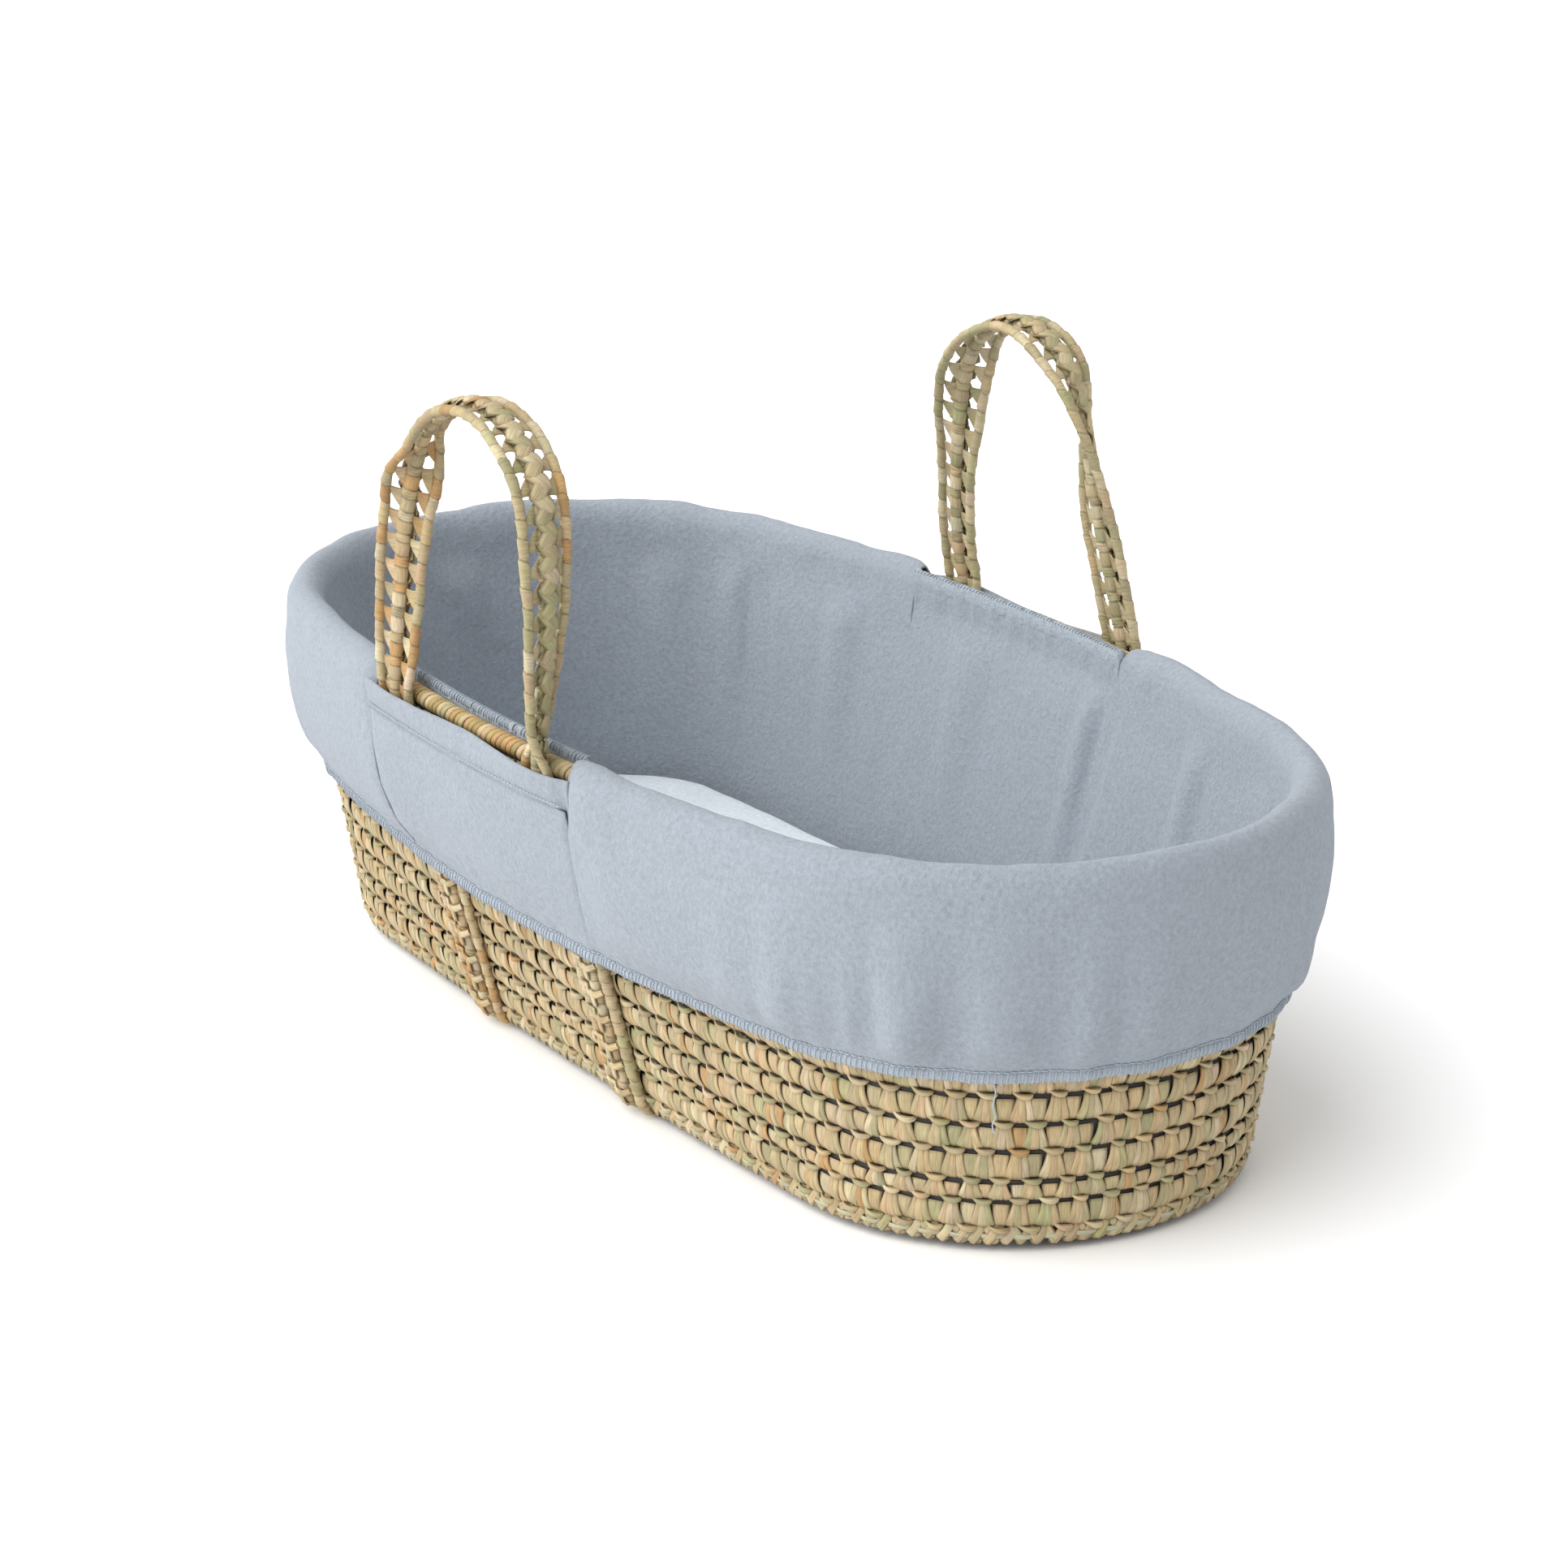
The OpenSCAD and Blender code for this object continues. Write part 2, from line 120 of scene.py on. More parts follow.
def noise(x, seed, loop=997):
    """Smooth noise from -1 to 1 with a wave about every 1, which repeats after loop."""
    table = np.random.default_rng(seed).uniform(-1, 1, loop)
    i = np.floor(x).astype(int)
    f = smooth(0, 1, x - i)
    return table[i % loop] * (1 - f) + table[(i + 1) % loop] * f


def noise2(x, y, seed, loop=997):
    """Smooth noise over a plane, which repeats along x after loop and along y after LOOP_Y."""
    table = np.random.default_rng(seed).uniform(-1, 1, (loop, LOOP_Y))
    i, j = np.floor(x).astype(int), np.floor(y).astype(int)
    f, g = smooth(0, 1, x - i), smooth(0, 1, y - j)
    low, high = (table[i % loop, k % LOOP_Y] * (1 - f) + table[(i + 1) % loop, k % LOOP_Y] * f
                 for k in (j, j + 1))
    return low * (1 - g) + high * g


def through(points, count):
    """count points of a smooth curve through the given ones, evenly spaced by their order."""
    points = np.array(points, float)
    padded = np.vstack([2 * points[0] - points[1], points, 2 * points[-1] - points[-2]])
    t = np.linspace(0, len(points) - 1, count)
    i = np.minimum(t.astype(int), len(points) - 2)
    f = (t - i)[:, None]
    a, b, c, d = padded[i], padded[i + 1], padded[i + 2], padded[i + 3]
    return b + 0.5 * f * (c - a + f * (2 * a - 5 * b + 4 * c - d + f * (3 * (b - c) + d - a)))


# ---- the frame's ovals ----

COIL_LOW, COIL_HIGH = box("rim_coil")
BASE_LOW, BASE_HIGH = box("base_course_1")
COIL_R = (COIL_HIGH[2] - COIL_LOW[2]) / 2
COIL_Z = (COIL_HIGH[2] + COIL_LOW[2]) / 2
WALL_T = 10.0
BASE_IN = WALL_T + 0.3                      # from the wall's outside to the base's edge
COURSES = 12
SEAMS = [box(f"wall_course_{i:02d}")[0][2] for i in range(1, COURSES + 1)]
SEAMS.append(box(f"wall_course_{COURSES:02d}")[1][2])
WALL_Z0, WALL_Z1 = SEAMS[0], SEAMS[-1]
COIL_OVAL = np.array([COIL_HIGH[0] - COIL_R, COIL_HIGH[1] - COIL_R, 170.0])
RIM_OVAL = COIL_OVAL + WALL_T / 2
BASE_OVAL = np.array([BASE_HIGH[0] + BASE_IN, BASE_HIGH[1] + BASE_IN, 138.0])


def weave(z):
    """Outside of the woven wall at height z."""
    t = (np.asarray(z, float) - WALL_Z0) / (WALL_Z1 - WALL_Z0)
    return BASE_OVAL + (RIM_OVAL - BASE_OVAL) * t[..., None]


def arcs(shape):
    """End arcs' centre, side radius, its centre, joint angle, and the arcs' lengths, for an oval."""
    a, b, r = shape[..., 0], shape[..., 1], shape[..., 2]
    c = a - r
    big = (c * c + b * b - r * r) / (2 * (b - r))
    d = big - b
    joint = np.arctan2(d, c)
    return c, r, big, d, joint, big * (math.pi / 2 - joint), 2 * r * joint


def girth(shape):
    side, end = arcs(np.asarray(shape, float))[5:]
    return 2 * (2 * side + end)


def on_oval(shape, u):
    """Points and outward directions on an oval, in plan."""
    shape = np.asarray(shape, float)
    c, r, big, d, joint, side, end = arcs(shape)
    half = 2 * side + end
    s = np.mod(u, 1) * 2 * half
    left = s > half
    s = np.where(left, s - half, s)
    front, middle = s < side, s < side + end
    t = np.where(front, s / big - math.pi / 2,
                 np.where(middle, (s - side) / r - joint, (s - side - end) / big + joint))
    x = np.where(middle & ~front, c + r * np.cos(t), big * np.cos(t))
    y = np.where(front, d + big * np.sin(t), np.where(middle, r * np.sin(t), big * np.sin(t) - d))
    turn = np.where(left, -1.0, 1.0)
    return np.stack([x * turn, y * turn], -1), np.stack([np.cos(t) * turn, np.sin(t) * turn], -1)


def u_at(shape, x, back=False):
    """Place round an oval of a point x along its front side, or its back side."""
    c, r, big, d, joint, side, end = arcs(np.asarray(shape, float))
    s = big * math.asin(x / big)
    half = 2 * side + end
    return float((half - s if back else s) / (2 * half)) % 1


def on_wall(u0, s, z, off):
    """Points off millimetres outside the woven wall, s along it from u0, and the wall's normals there."""
    shape = weave(z)
    plan, out = on_oval(shape, u0 + s / girth(shape))
    slope = ((RIM_OVAL[0] - BASE_OVAL[0]) * out[..., 0] ** 2
             + (RIM_OVAL[1] - BASE_OVAL[1]) * out[..., 1] ** 2) / (WALL_Z1 - WALL_Z0)
    normal = unit(raised(out, -slope))
    return raised(plan, z) + normal * off[..., None], normal


# ---- meshes ----

def lattice(n, m, loop_n=False, loop_m=False):
    """Quads over an n by m grid of vertices. They face along (m direction) x (n direction)."""
    i = np.arange(n if loop_n else n - 1)[:, None]
    j = np.arange(m if loop_m else m - 1)[None, :]
    k, p = (j + 1) % m, (i + 1) % n
    return np.stack([i * m + j, i * m + k, p * m + k, p * m + j], -1).reshape(-1, 4)


def linked(name, data):
    obj = bpy.data.objects.new(name, data)
    bpy.context.scene.collection.objects.link(obj)
    return obj


WHITE = np.ones(3)


class Stock:
    """Vertices, quads, tints and grain of a piece that is being put together."""

    def __init__(self):
        self.parts = []
        self.count = 0

    def add(self, verts, quads, tint=WHITE, grain=None):
        """The grain says which way a fibre or thread runs. Without one it is the place itself."""
        verts = np.reshape(verts, (-1, 3))
        grain = verts if grain is None else grain
        tint = np.broadcast_to(tint, verts.shape) if np.ndim(tint) < 2 else np.reshape(tint, (-1, 3))
        self.parts.append((verts, quads + self.count, tint, np.reshape(grain, (-1, 3))))
        self.count += len(verts)

    def make(self, name, material, slot, body, *nodes):
        verts, quads, tint, grain = (np.concatenate(x) for x in zip(*self.parts))
        mesh = bpy.data.meshes.new(name)
        mesh.vertices.add(len(verts))
        mesh.vertices.foreach_set("co", (verts * MM).astype(np.float32).ravel())
        mesh.loops.add(quads.size)
        mesh.loops.foreach_set("vertex_index", quads.astype(np.int32).ravel())
        mesh.polygons.add(len(quads))
        mesh.polygons.foreach_set("loop_start", np.arange(0, quads.size, 4, dtype=np.int32))
        mesh.update(calc_edges=True)
        mesh.shade_smooth()
        colour = mesh.attributes.new("tint", "FLOAT_COLOR", "POINT")
        rgba = np.concatenate([tint, np.ones((len(tint), 1))], 1)
        colour.data.foreach_set("color", rgba.astype(np.float32).ravel())
        lines = mesh.attributes.new("grain", "FLOAT_VECTOR", "POINT")
        lines.data.foreach_set("vector", grain.astype(np.float32).ravel())
        mesh.materials.append(material)
        obj = linked(name, mesh)
        if body:
            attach(obj, body)
        if nodes:
            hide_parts(*nodes)
        return obj

    def woven(self, node, slot, body="basket"):
        """Makes the palm-leaf piece that stands for a node."""
        return self.make(f"woven_{node}", PALM, slot, body, node)


# A leaf's section: part of its half width, of its crown, and of its thickness.
LEAF = np.array([(-1, 0, 0), (-0.5, 1, 0.5), (0.5, 1, 0.5), (1, 0, 0), (0.5, 1, -0.5), (-0.5, 1, -0.5)])
LEAF_T = 0.55


def leaves(stock, path, normal, width, crown, tint, rng):
    """Adds a closed strip of leaf along each path: path and normal are (strips, stations, 3)."""
    n, k = path.shape[:2]
    width, crown = (np.broadcast_to(size, (n, k)) for size in (width, crown))
    run = unit(np.gradient(path, axis=1))
    side = unit(np.cross(run, normal))
    face = np.cross(side, run)
    across = (width / 2)[..., None] * LEAF[:, 0]
    lift = crown[..., None] * LEAF[:, 1] + LEAF_T * LEAF[:, 2]
    verts = path[:, :, None] + side[:, :, None] * across[..., None] + face[:, :, None] * lift[..., None]
    strip = lattice(k, 6, loop_m=True)
    end = (k - 1) * 6
    caps = [[5, 4, 1, 0], [4, 3, 2, 1], [end, end + 1, end + 4, end + 5],
            [end + 1, end + 2, end + 3, end + 4]]
    strip = np.vstack([strip, caps])
    quads = (strip[None] + (np.arange(n) * 6 * k)[:, None, None]).reshape(-1, 4)
    along = np.cumsum(np.linalg.norm(np.diff(path, axis=1, prepend=path[:, :1]), axis=-1), 1)
    grain = np.stack(np.broadcast_arrays(across, along[..., None], rng.uniform(0, 500, n)[:, None, None]), -1)
    stock.add(verts, quads, np.repeat(np.broadcast_to(tint, (n, 3)), 6 * k, axis=0), grain)


def tube(stock, verts, closed=False, tint=WHITE, grain=None):
    """Adds a tube from rings of vertices (stations, sides, 3), closed round or capped at its ends."""
    n, m = verts.shape[:2]
    quads = lattice(n, m, closed, True)
    if not closed:
        half = np.arange(m // 2 - 1)
        start = np.stack([m - 1 - half, m - 2 - half, half + 1, half], -1)
        end = np.stack([half, half + 1, m - 2 - half, m - 1 - half], -1) + (n - 1) * m
        quads = np.vstack([quads, start, end])
    stock.add(verts, quads, tint, grain)


# ---- materials ----

def srgb(r, g, b):
    """Linear colour from 0-255 display values."""
    c = np.array([r, g, b]) / 255
    return np.where(c < 0.04045, c / 12.92, ((c + 0.055) / 1.055) ** 2.4)


class Nodes:
    """A short way to build a material's node tree."""

    def __init__(self, name):
        self.material = bpy.data.materials.new(name)
        self.material.use_nodes = True
        self.tree = self.material.node_tree
        self.shader = self.tree.nodes["Principled BSDF"]

    def put(self, value, socket):
        """Gives a socket a link or a constant."""
        if isinstance(value, bpy.types.NodeSocket):
            self.tree.links.new(value, socket)
        else:
            socket.default_value = (*value[:3], 1) if socket.type == "RGBA" else value

    def node(self, kind, inputs=(), **settings):
        node = self.tree.nodes.new(kind)
        for key, value in settings.items():
            setattr(node, key, value)
        for key, value in dict(inputs).items():
            self.put(value, node.inputs[key])
        return node

    def attribute(self, name, output):
        return self.node("ShaderNodeAttribute", attribute_name=name).outputs[output]

    def math(self, operation, a, b):
        return self.node("ShaderNodeMath", {0: a, 1: b}, operation=operation).outputs[0]

    def ramp(self, value, low, high, to_low=0.0, to_high=1.0):
        return self.node("ShaderNodeMapRange", {0: value, 1: low, 2: high, 3: to_low, 4: to_high}).outputs[0]

    def mix(self, factor, a, b, blend="MIX"):
        inputs = {0: factor, 6: a, 7: b}
        return self.node("ShaderNodeMix", inputs, data_type="RGBA", blend_type=blend).outputs[2]

    def noise(self, vector, scale, detail=3.0, roughness=0.5):
        inputs = {"Vector": vector, "Scale": scale, "Detail": detail, "Roughness": roughness}
        return self.node("ShaderNodeTexNoise", inputs).outputs[0]

    def stretched(self, vector, x, y, z):
        return self.node("ShaderNodeVectorMath", {0: vector, 1: (x, y, z)}, operation="MULTIPLY").outputs[0]

    def bump(self, height, distance, strength=1.0, under=None):
        inputs = {"Height": height, "Distance": distance, "Strength": strength}
        if under is not None:
            inputs["Normal"] = under
        return self.node("ShaderNodeBump", inputs).outputs[0]

    def set(self, **sockets):
        for key, value in sockets.items():
            self.put(value, self.shader.inputs[key.replace("_", " ")])
        return self.material


def palm_material():
    """Dry palm leaf: long fibres, veins and blotches over each strip's own tint."""
    n = Nodes("palm_leaf")
    tint, grain = n.attribute("tint", "Color"), n.attribute("grain", "Vector")
    fibre = n.noise(n.stretched(grain, 2.6, 0.10, 1.0), 1.0, 4.0, 0.6)
    veins = n.noise(n.stretched(grain, 1.1, 0.03, 1.0), 1.0, 1.0)
    blotch = n.noise(n.stretched(grain, 0.25, 0.12, 1.0), 1.0, 3.0)
    shade = n.math("MULTIPLY", n.ramp(fibre, 0.3, 0.7, 0.46, 0.83), n.ramp(blotch, 0.3, 0.7, 0.84, 1.02))
    colour = n.mix(1.0, tint, n.node("ShaderNodeCombineColor", {0: shade, 1: shade, 2: shade}).outputs[0],
                   "MULTIPLY")
    colour = n.mix(n.ramp(veins, 0.60, 0.72, 0.0, 0.35), colour, srgb(150, 112, 66))
    height = n.math("ADD", fibre, n.math("MULTIPLY", veins, 1.5))
    return n.set(Base_Color=colour, Roughness=n.ramp(fibre, 0.3, 0.7, 0.50, 0.68),
                 Specular_IOR_Level=0.35, Normal=n.bump(height, 0.00035, 0.7))


def fleece_material(name, colour, pile=1.0):
    """Brushed fleece: mottled pile, fine fuzz and a soft sheen."""
    n = Nodes(name)
    place = n.node("ShaderNodeTexCoord").outputs["Object"]
    fuzz = n.noise(place, 1500.0, 3.0, 0.7)
    nap = n.noise(place, 330.0, 2.0, 0.6)
    cloud = n.noise(place, 24.0, 3.0)
    shade = n.math("ADD", n.math("MULTIPLY", fuzz, 0.5), n.math("MULTIPLY", nap, 0.5))
    tone = n.mix(n.ramp(shade, 0.35, 0.65), colour * 0.80, np.minimum(colour * 1.12, 1))
    tone = n.mix(n.ramp(cloud, 0.35, 0.7, 0.0, 0.25), tone, colour * 0.93)
    lumps = n.bump(nap, 0.0016 * pile, 0.65)
    return n.set(Base_Color=tone, Roughness=0.95, Specular_IOR_Level=0.15, Sheen_Weight=0.22,
                 Sheen_Roughness=0.6, Sheen_Tint=(0.92, 0.96, 1.0),
                 Normal=n.bump(fuzz, 0.0006 * pile, 0.8, lumps))


def thread_material(colour):
    """Twisted sewing thread."""
    n = Nodes("thread")
    grain = n.attribute("grain", "Vector")
    wave = n.node("ShaderNodeTexWave", {"Vector": grain, "Scale": 0.9, "Distortion": 1.5}).outputs[1]
    tone = n.mix(n.ramp(wave, 0.2, 0.8), colour * 0.75, np.minimum(colour * 1.15, 1))
    return n.set(Base_Color=tone, Roughness=0.7, Sheen_Weight=0.3, Normal=n.bump(wave, 0.0003, 0.6))


PALM = palm_material()
FLEECE = fleece_material("grey_blue_fleece", srgb(145, 152, 161))
EDGE = fleece_material("overlocked_edge", srgb(163, 172, 181), 1.6)
COVER = fleece_material("white_cover", srgb(218, 226, 231), 0.5)
THREAD = thread_material(srgb(170, 181, 193))

STRAW = srgb(222, 196, 150)
BEIGE = srgb(212, 193, 150)
GREEN = srgb(198, 188, 142)
ORANGE = srgb(216, 174, 118)
PALE = srgb(232, 214, 174)
# Dark grey of the coils behind the wall's and rim's leaves: painted shade for the gaps between the leaves.
GAP_SHADE = srgb(86, 82, 78)


def tints(rng, count, shares):
    """A tint for each of count strips, from (tint, share) pairs, each strip a little different."""
    colours = np.array([c for c, _ in shares])
    share = np.array([s for _, s in shares], float)
    pick = colours[rng.choice(len(colours), count, p=share / share.sum())]
    return np.clip(pick * rng.normal(1, 0.07, (count, 1)) * rng.normal(1, 0.02, (count, 3)), 0.02, 1)


SLOTS = ("palm_straw", "palm_straw", "palm_olive")      # the courses' slots, in turn
WALL_MIX = [(STRAW, 5), (BEIGE, 4), (GREEN, 1.4), (ORANGE, 0.6), (PALE, 2)]


# ---- the woven wall ----

CELLS = 106                                 # stitches round one course
CELL = girth(weave(60.0)) / CELLS
HEM_LOW, HEM_HIGH = box("hem_elastic")
VALLEY, CREST = -2.9, 0.7                   # how far a course's leaves lie out, at a seam and between


KNOTS = [spaced(np.random.default_rng(40 + seam), CELLS, 0.05, 0.5 * (seam % 2))
         for seam in range(COURSES + 1)]


def swell(t):
    """How far out a course's leaves lie, a part t of the way up it."""
    return VALLEY + (CREST - VALLEY) * np.sin(math.pi * np.clip(t, 0, 1)) ** 0.7


def ring_core(stock, place, section, stations, tint):
    """A closed coil behind the leaves: place(u, across, z) over a section of (across, z)."""
    u, across, z = np.broadcast_arrays(column(stations), *np.array(section).T)
    tube(stock, place(u, across, z), True, tint, np.stack([across, u * 2000, z], -1))


def strips(stock, rng, u0, s, z, off, width, crown, tint, wobble=0.25):
    """Leaves on the wall. u0 has one place a leaf; s, z and off have a row of stations, or one a leaf."""
    n, k = len(u0), s.shape[-1]
    s = s + rng.normal(0, wobble, (n, 1)) + rng.normal(0, wobble, (n, 1)) * np.linspace(-1, 1, k)
    off = off + rng.normal(0, 0.12, (n, 1))
    path, normal = on_wall(*np.broadcast_arrays(u0[:, None], s, z, off))
    leaves(stock, path, normal, width * rng.normal(1, 0.05, (n, 1)), crown, tint, rng)


def wall_course(i):
    """A coiled course: a coil behind, tinted dark grey as painted shade in the gaps between the leaves, and
    on it the fans, straight leaves and knots of its cells.
    """
    rng = np.random.default_rng(100 + i)
    stock = Stock()
    z0, z1 = SEAMS[i - 1], SEAMS[i]
    height = z1 - z0
    shown = z0 < HEM_HIGH[2]
    t = np.linspace(0, 1, 8 if shown else 4)
    middle = (z0 + z1) / 2
    section = [(VALLEY - 0.8, z1 - 0.2), (-2.2, middle + height * 0.25), (-1.6, middle),
               (-2.2, middle - height * 0.25), (VALLEY - 0.8, z0 + 0.2), (-WALL_T + 0.4, z0 + 0.2),
               (-WALL_T + 0.4, middle), (-WALL_T + 0.4, z1 - 0.2)]
    # The coil's dark grey tint is painted shade, seen through the gaps between the leaves.
    ring_core(stock, lambda u, across, z: on_wall(u, 0, z, across)[0], section, 320, GAP_SHADE)
    if i == 1:
        foot_leaves(stock, rng, z0, z1)
    else:
        gap = 2.6 if shown else 1.0
        z = z1 - gap - (height - gap - 0.2) * t
        strips(stock, rng, KNOTS[i - 1], 0 * t[None], z, swell((z - z0) / height) - 0.35,
               10.4 - 2.6 * t, 0.3, tints(rng, CELLS, WALL_MIX))
        z = z1 - 0.9 - (height - 1.5) * t
        lie = swell((z - z0) / height)
        for lean, over in ((-1, 0.05), (1, 0.2), (0, 0.45)):
            strips(stock, rng, KNOTS[i], (lean * (1.6 + 3.3 * t))[None], z, lie + over, 3.8 + 2.6 * t, 0.4,
                   tints(rng, CELLS, WALL_MIX))
    if shown and i < COURSES:
        knots(stock, rng, i, z1)
    stock.woven(f"wall_course_{i:02d}", SLOTS[i % 3])


# A knot's loop from its thin tail to its thick end: along the wall, up, width, out, crown.
KNOT = np.array([(-8.6, 2.9, 0.9, -2.8, 0.2), (-6.2, 1.9, 1.4, -1.4, 0.4), (-3.6, 0.8, 2.8, 0.1, 0.9),
                 (-1.0, 0.1, 4.2, 0.8, 1.2), (1.4, -0.2, 4.4, 0.8, 1.3), (3.6, -0.4, 3.6, -0.3, 1.0),
                 (5.2, -0.5, 1.8, -2.6, 0.4)])


def knots(stock, rng, seam, z):
    loop = through(KNOT, 9)
    size = rng.normal(1, 0.07, (CELLS, 1))
    rise = loop[:, 1] * rng.normal(1, 0.25, (CELLS, 1)) + rng.normal(0, 0.4, (CELLS, 1))
    strips(stock, rng, KNOTS[seam], loop[:, 0] * size, z + rise, loop[:, 3], loop[:, 2] * size, loop[:, 4],
           tints(rng, CELLS, [(STRAW, 3), (BEIGE, 4), (GREEN, 3), (PALE, 2), (ORANGE, 0.5)]), 0.2)


def foot_leaves(stock, rng, z0, z1):
    """The rounded lowest course: leaves that cross and turn under, and a pale leaf through them."""
    t = np.linspace(0, 1, 8)
    for lean in (-1, 1):
        u0 = spaced(rng, CELLS * 2, 0.08, 0.5 * lean)
        z = z1 + 0.6 - (z1 - z0 + 0.2) * np.minimum(t * 1.25, 1)
        off = VALLEY + 2.6 * np.sin(math.pi * np.minimum(t * 1.1, 1)) ** 0.7
        off += (0.45 if lean > 0 else 0) - 5.0 * np.maximum(t - 0.78, 0) / 0.22
        strips(stock, rng, u0, (lean * (4.2 - 8.4 * t))[None], z, off, 5.6, 0.4,
               tints(rng, CELLS * 2, WALL_MIX))
    steps = CELLS * 8
    u = np.linspace(0, 1, steps + 1)
    weave_in = -0.35 + 0.75 * np.sin(TURN * u * CELLS)
    path, normal = on_wall(u, 0, np.full(steps + 1, z0 + 0.52 * (z1 - z0)), weave_in)
    leaves(stock, path[None], normal[None], 3.6, 0.3, srgb(214, 212, 178), rng)


for number in range(1, COURSES + 1):
    wall_course(number)


# ---- the coiled base ----

BASE_Z0, BASE_Z1 = BASE_LOW[2], BASE_HIGH[2]
BASE_PITCH = BASE_HIGH[0] - box("base_course_2")[1][0]
BASE_COURSES = 7


def on_base(u, inward, z):
    """Points inward of the base's edge at height z."""
    return raised(on_oval(BASE_OVAL - BASE_IN - inward[..., None], u)[0], z)


def base_course(i):
    """A flat course of the base, counted from the outside, wrapped in leaves on its underside."""
    rng = np.random.default_rng(200 + i)
    stock = Stock()
    outer = (i - 1) * BASE_PITCH
    thick = BASE_Z1 - BASE_Z0
    inner = outer + BASE_PITCH
    section = [(outer + 1.2, BASE_Z1 - 1.5), (outer + 0.8, BASE_Z0 + thick / 2), (outer + 2.5, BASE_Z0 + 1.6),
               (inner - 2.5, BASE_Z0 + 1.6), (inner - 0.8, BASE_Z0 + thick / 2), (inner - 1.2, BASE_Z1 - 1.5),
               (inner - 3, BASE_Z1), (outer + 3, BASE_Z1)]
    ring_core(stock, on_base, section, 240, srgb(140, 120, 84))
    count = int(girth(BASE_OVAL - BASE_IN - outer - BASE_PITCH / 2) / 7)
    t = np.linspace(0, 1, 7)
    u = spaced(rng, count, 0.06)[:, None] + 0.004 * (t - 0.5)
    inward = outer + BASE_PITCH * (0.04 + 0.92 * t) + 0 * u
    path = on_base(u, inward, BASE_Z0 + 0.5 + 2.4 * (1 - np.sin(math.pi * t)) ** 1.5)
    leaves(stock, path, 0 * path + [0, 0, -1], 7.4, 0.4, tints(rng, count, WALL_MIX), rng)
    stock.woven(f"base_course_{i}", SLOTS[i % 3])


def base_core():
    """The long sliver in the base's middle, wrapped crosswise."""
    rng = np.random.default_rng(220)
    stock = Stock()
    low, high = box("base_core")
    count = int((high[0] - low[0]) / 6)
    t = np.linspace(-1, 1, 7)
    x = np.linspace(low[0] + 3, high[0] - 3, count)[:, None] + 1.5 * t
    half = high[1] * np.sqrt(np.clip(1 - (x / high[0]) ** 6, 0.05, 1))
    for z, up in ((low[2] + 0.6, -1.0), (high[2] - 0.6, 1.0)):
        path = np.stack([x, half * t, z - up * 1.6 * np.abs(t) ** 3 + 0 * x], -1)
        leaves(stock, path, 0 * path + [0, 0, up], 6.6, 0.4, tints(rng, count, WALL_MIX), rng)
    stock.woven("base_core", "palm_olive")


for number in range(1, BASE_COURSES + 1):
    base_course(number)
base_core()


# ---- the rim's coil ----

def rim_coil():
    """Coil along the rim, wrapped on the slant in golden leaf."""
    rng = np.random.default_rng(300)
    stock = Stock()

    def place(u, turn, radius):
        plan, out = on_oval(COIL_OVAL, u + 0 * turn)
        facing = raised(out * np.cos(turn)[:, None], np.sin(turn))
        return raised(plan, COIL_Z) + facing * np.reshape(radius, (-1, 1)), facing

    # The tube under the wraps is dark grey: painted shade for the gaps between the wraps.
    tube(stock, place(column(320), turns(8), COIL_R - 1.3)[0], True, GAP_SHADE)
    count = int(girth(COIL_OVAL) / 5.6)
    t = np.linspace(0, 1, 13)
    u = spaced(rng, count, 0.06)[:, None] + 1.9 * t / count
    path, normal = place(u, math.pi + TURN * 1.04 * t, COIL_R - 0.75 + 0.2 * np.sin(t * math.pi))
    leaves(stock, path, normal, 5.9, 0.4,
           tints(rng, count, [(ORANGE, 2), (STRAW, 3), (srgb(196, 172, 112), 3), (GREEN, 1)]), rng)
    stock.make("wrapped_rim_coil", PALM, "palm_straw", "basket", "rim_coil")


rim_coil()


# ---- bands: the straps under the basket and the handles over it ----

ROD_X, ROD_R = 14.6, 3.2                    # a band's edge rods, either side of its middle
BRAID_R = 4.7
HANDLE_ROD_R = 3.1
TOOTH = 15.0                                # length of one plait of a band
WRAP_SHARE = 0.62                           # how much of a plait its broad wrap takes
JOIN_Z = WALL_Z1 - 2                        # where a strap ends and a handle starts, behind the liner


class Band:
    """A band's middle line, with its width and thickness directions, by distance along it. flat is
    how much of its thickness is left."""

    def __init__(self, middle, wide, flat=1.0):
        run = unit(np.gradient(middle, axis=0))
        self.thick = unit(np.cross(run, wide))
        self.wide = np.cross(self.thick, run)
        self.middle = middle
        self.s = distance(middle)
        self.flat = flat + 0 * self.s
        self.length = self.s[-1]

    def stations(self, step=0.9):
        """Distances along the band, as a column."""
        return np.arange(0, self.length + step, step).clip(0, self.length)[:, None]

    def turned(self, s, x, y):
        """A step x across the band and y through it. The inner side of a strap is +y."""
        s, x, y = np.broadcast_arrays(s, x, y)
        return sample(self.wide, self.s, s) * x[..., None] + sample(self.thick, self.s, s) * y[..., None]

    def place(self, s, x, y):
        return sample(self.middle, self.s, s) + self.turned(s, x, y * np.interp(s, self.s, self.flat))

    def facing(self, s, x, y):
        return unit(self.turned(s, x, y))


def leg_tints(rng, s, band, mixes):
    """A tint for each strip at s: from the first mix before the band's middle, the second after it."""
    first, second = (tints(rng, len(s), mix) for mix in mixes)
    return np.where((s < band.length / 2)[:, None], first, second)


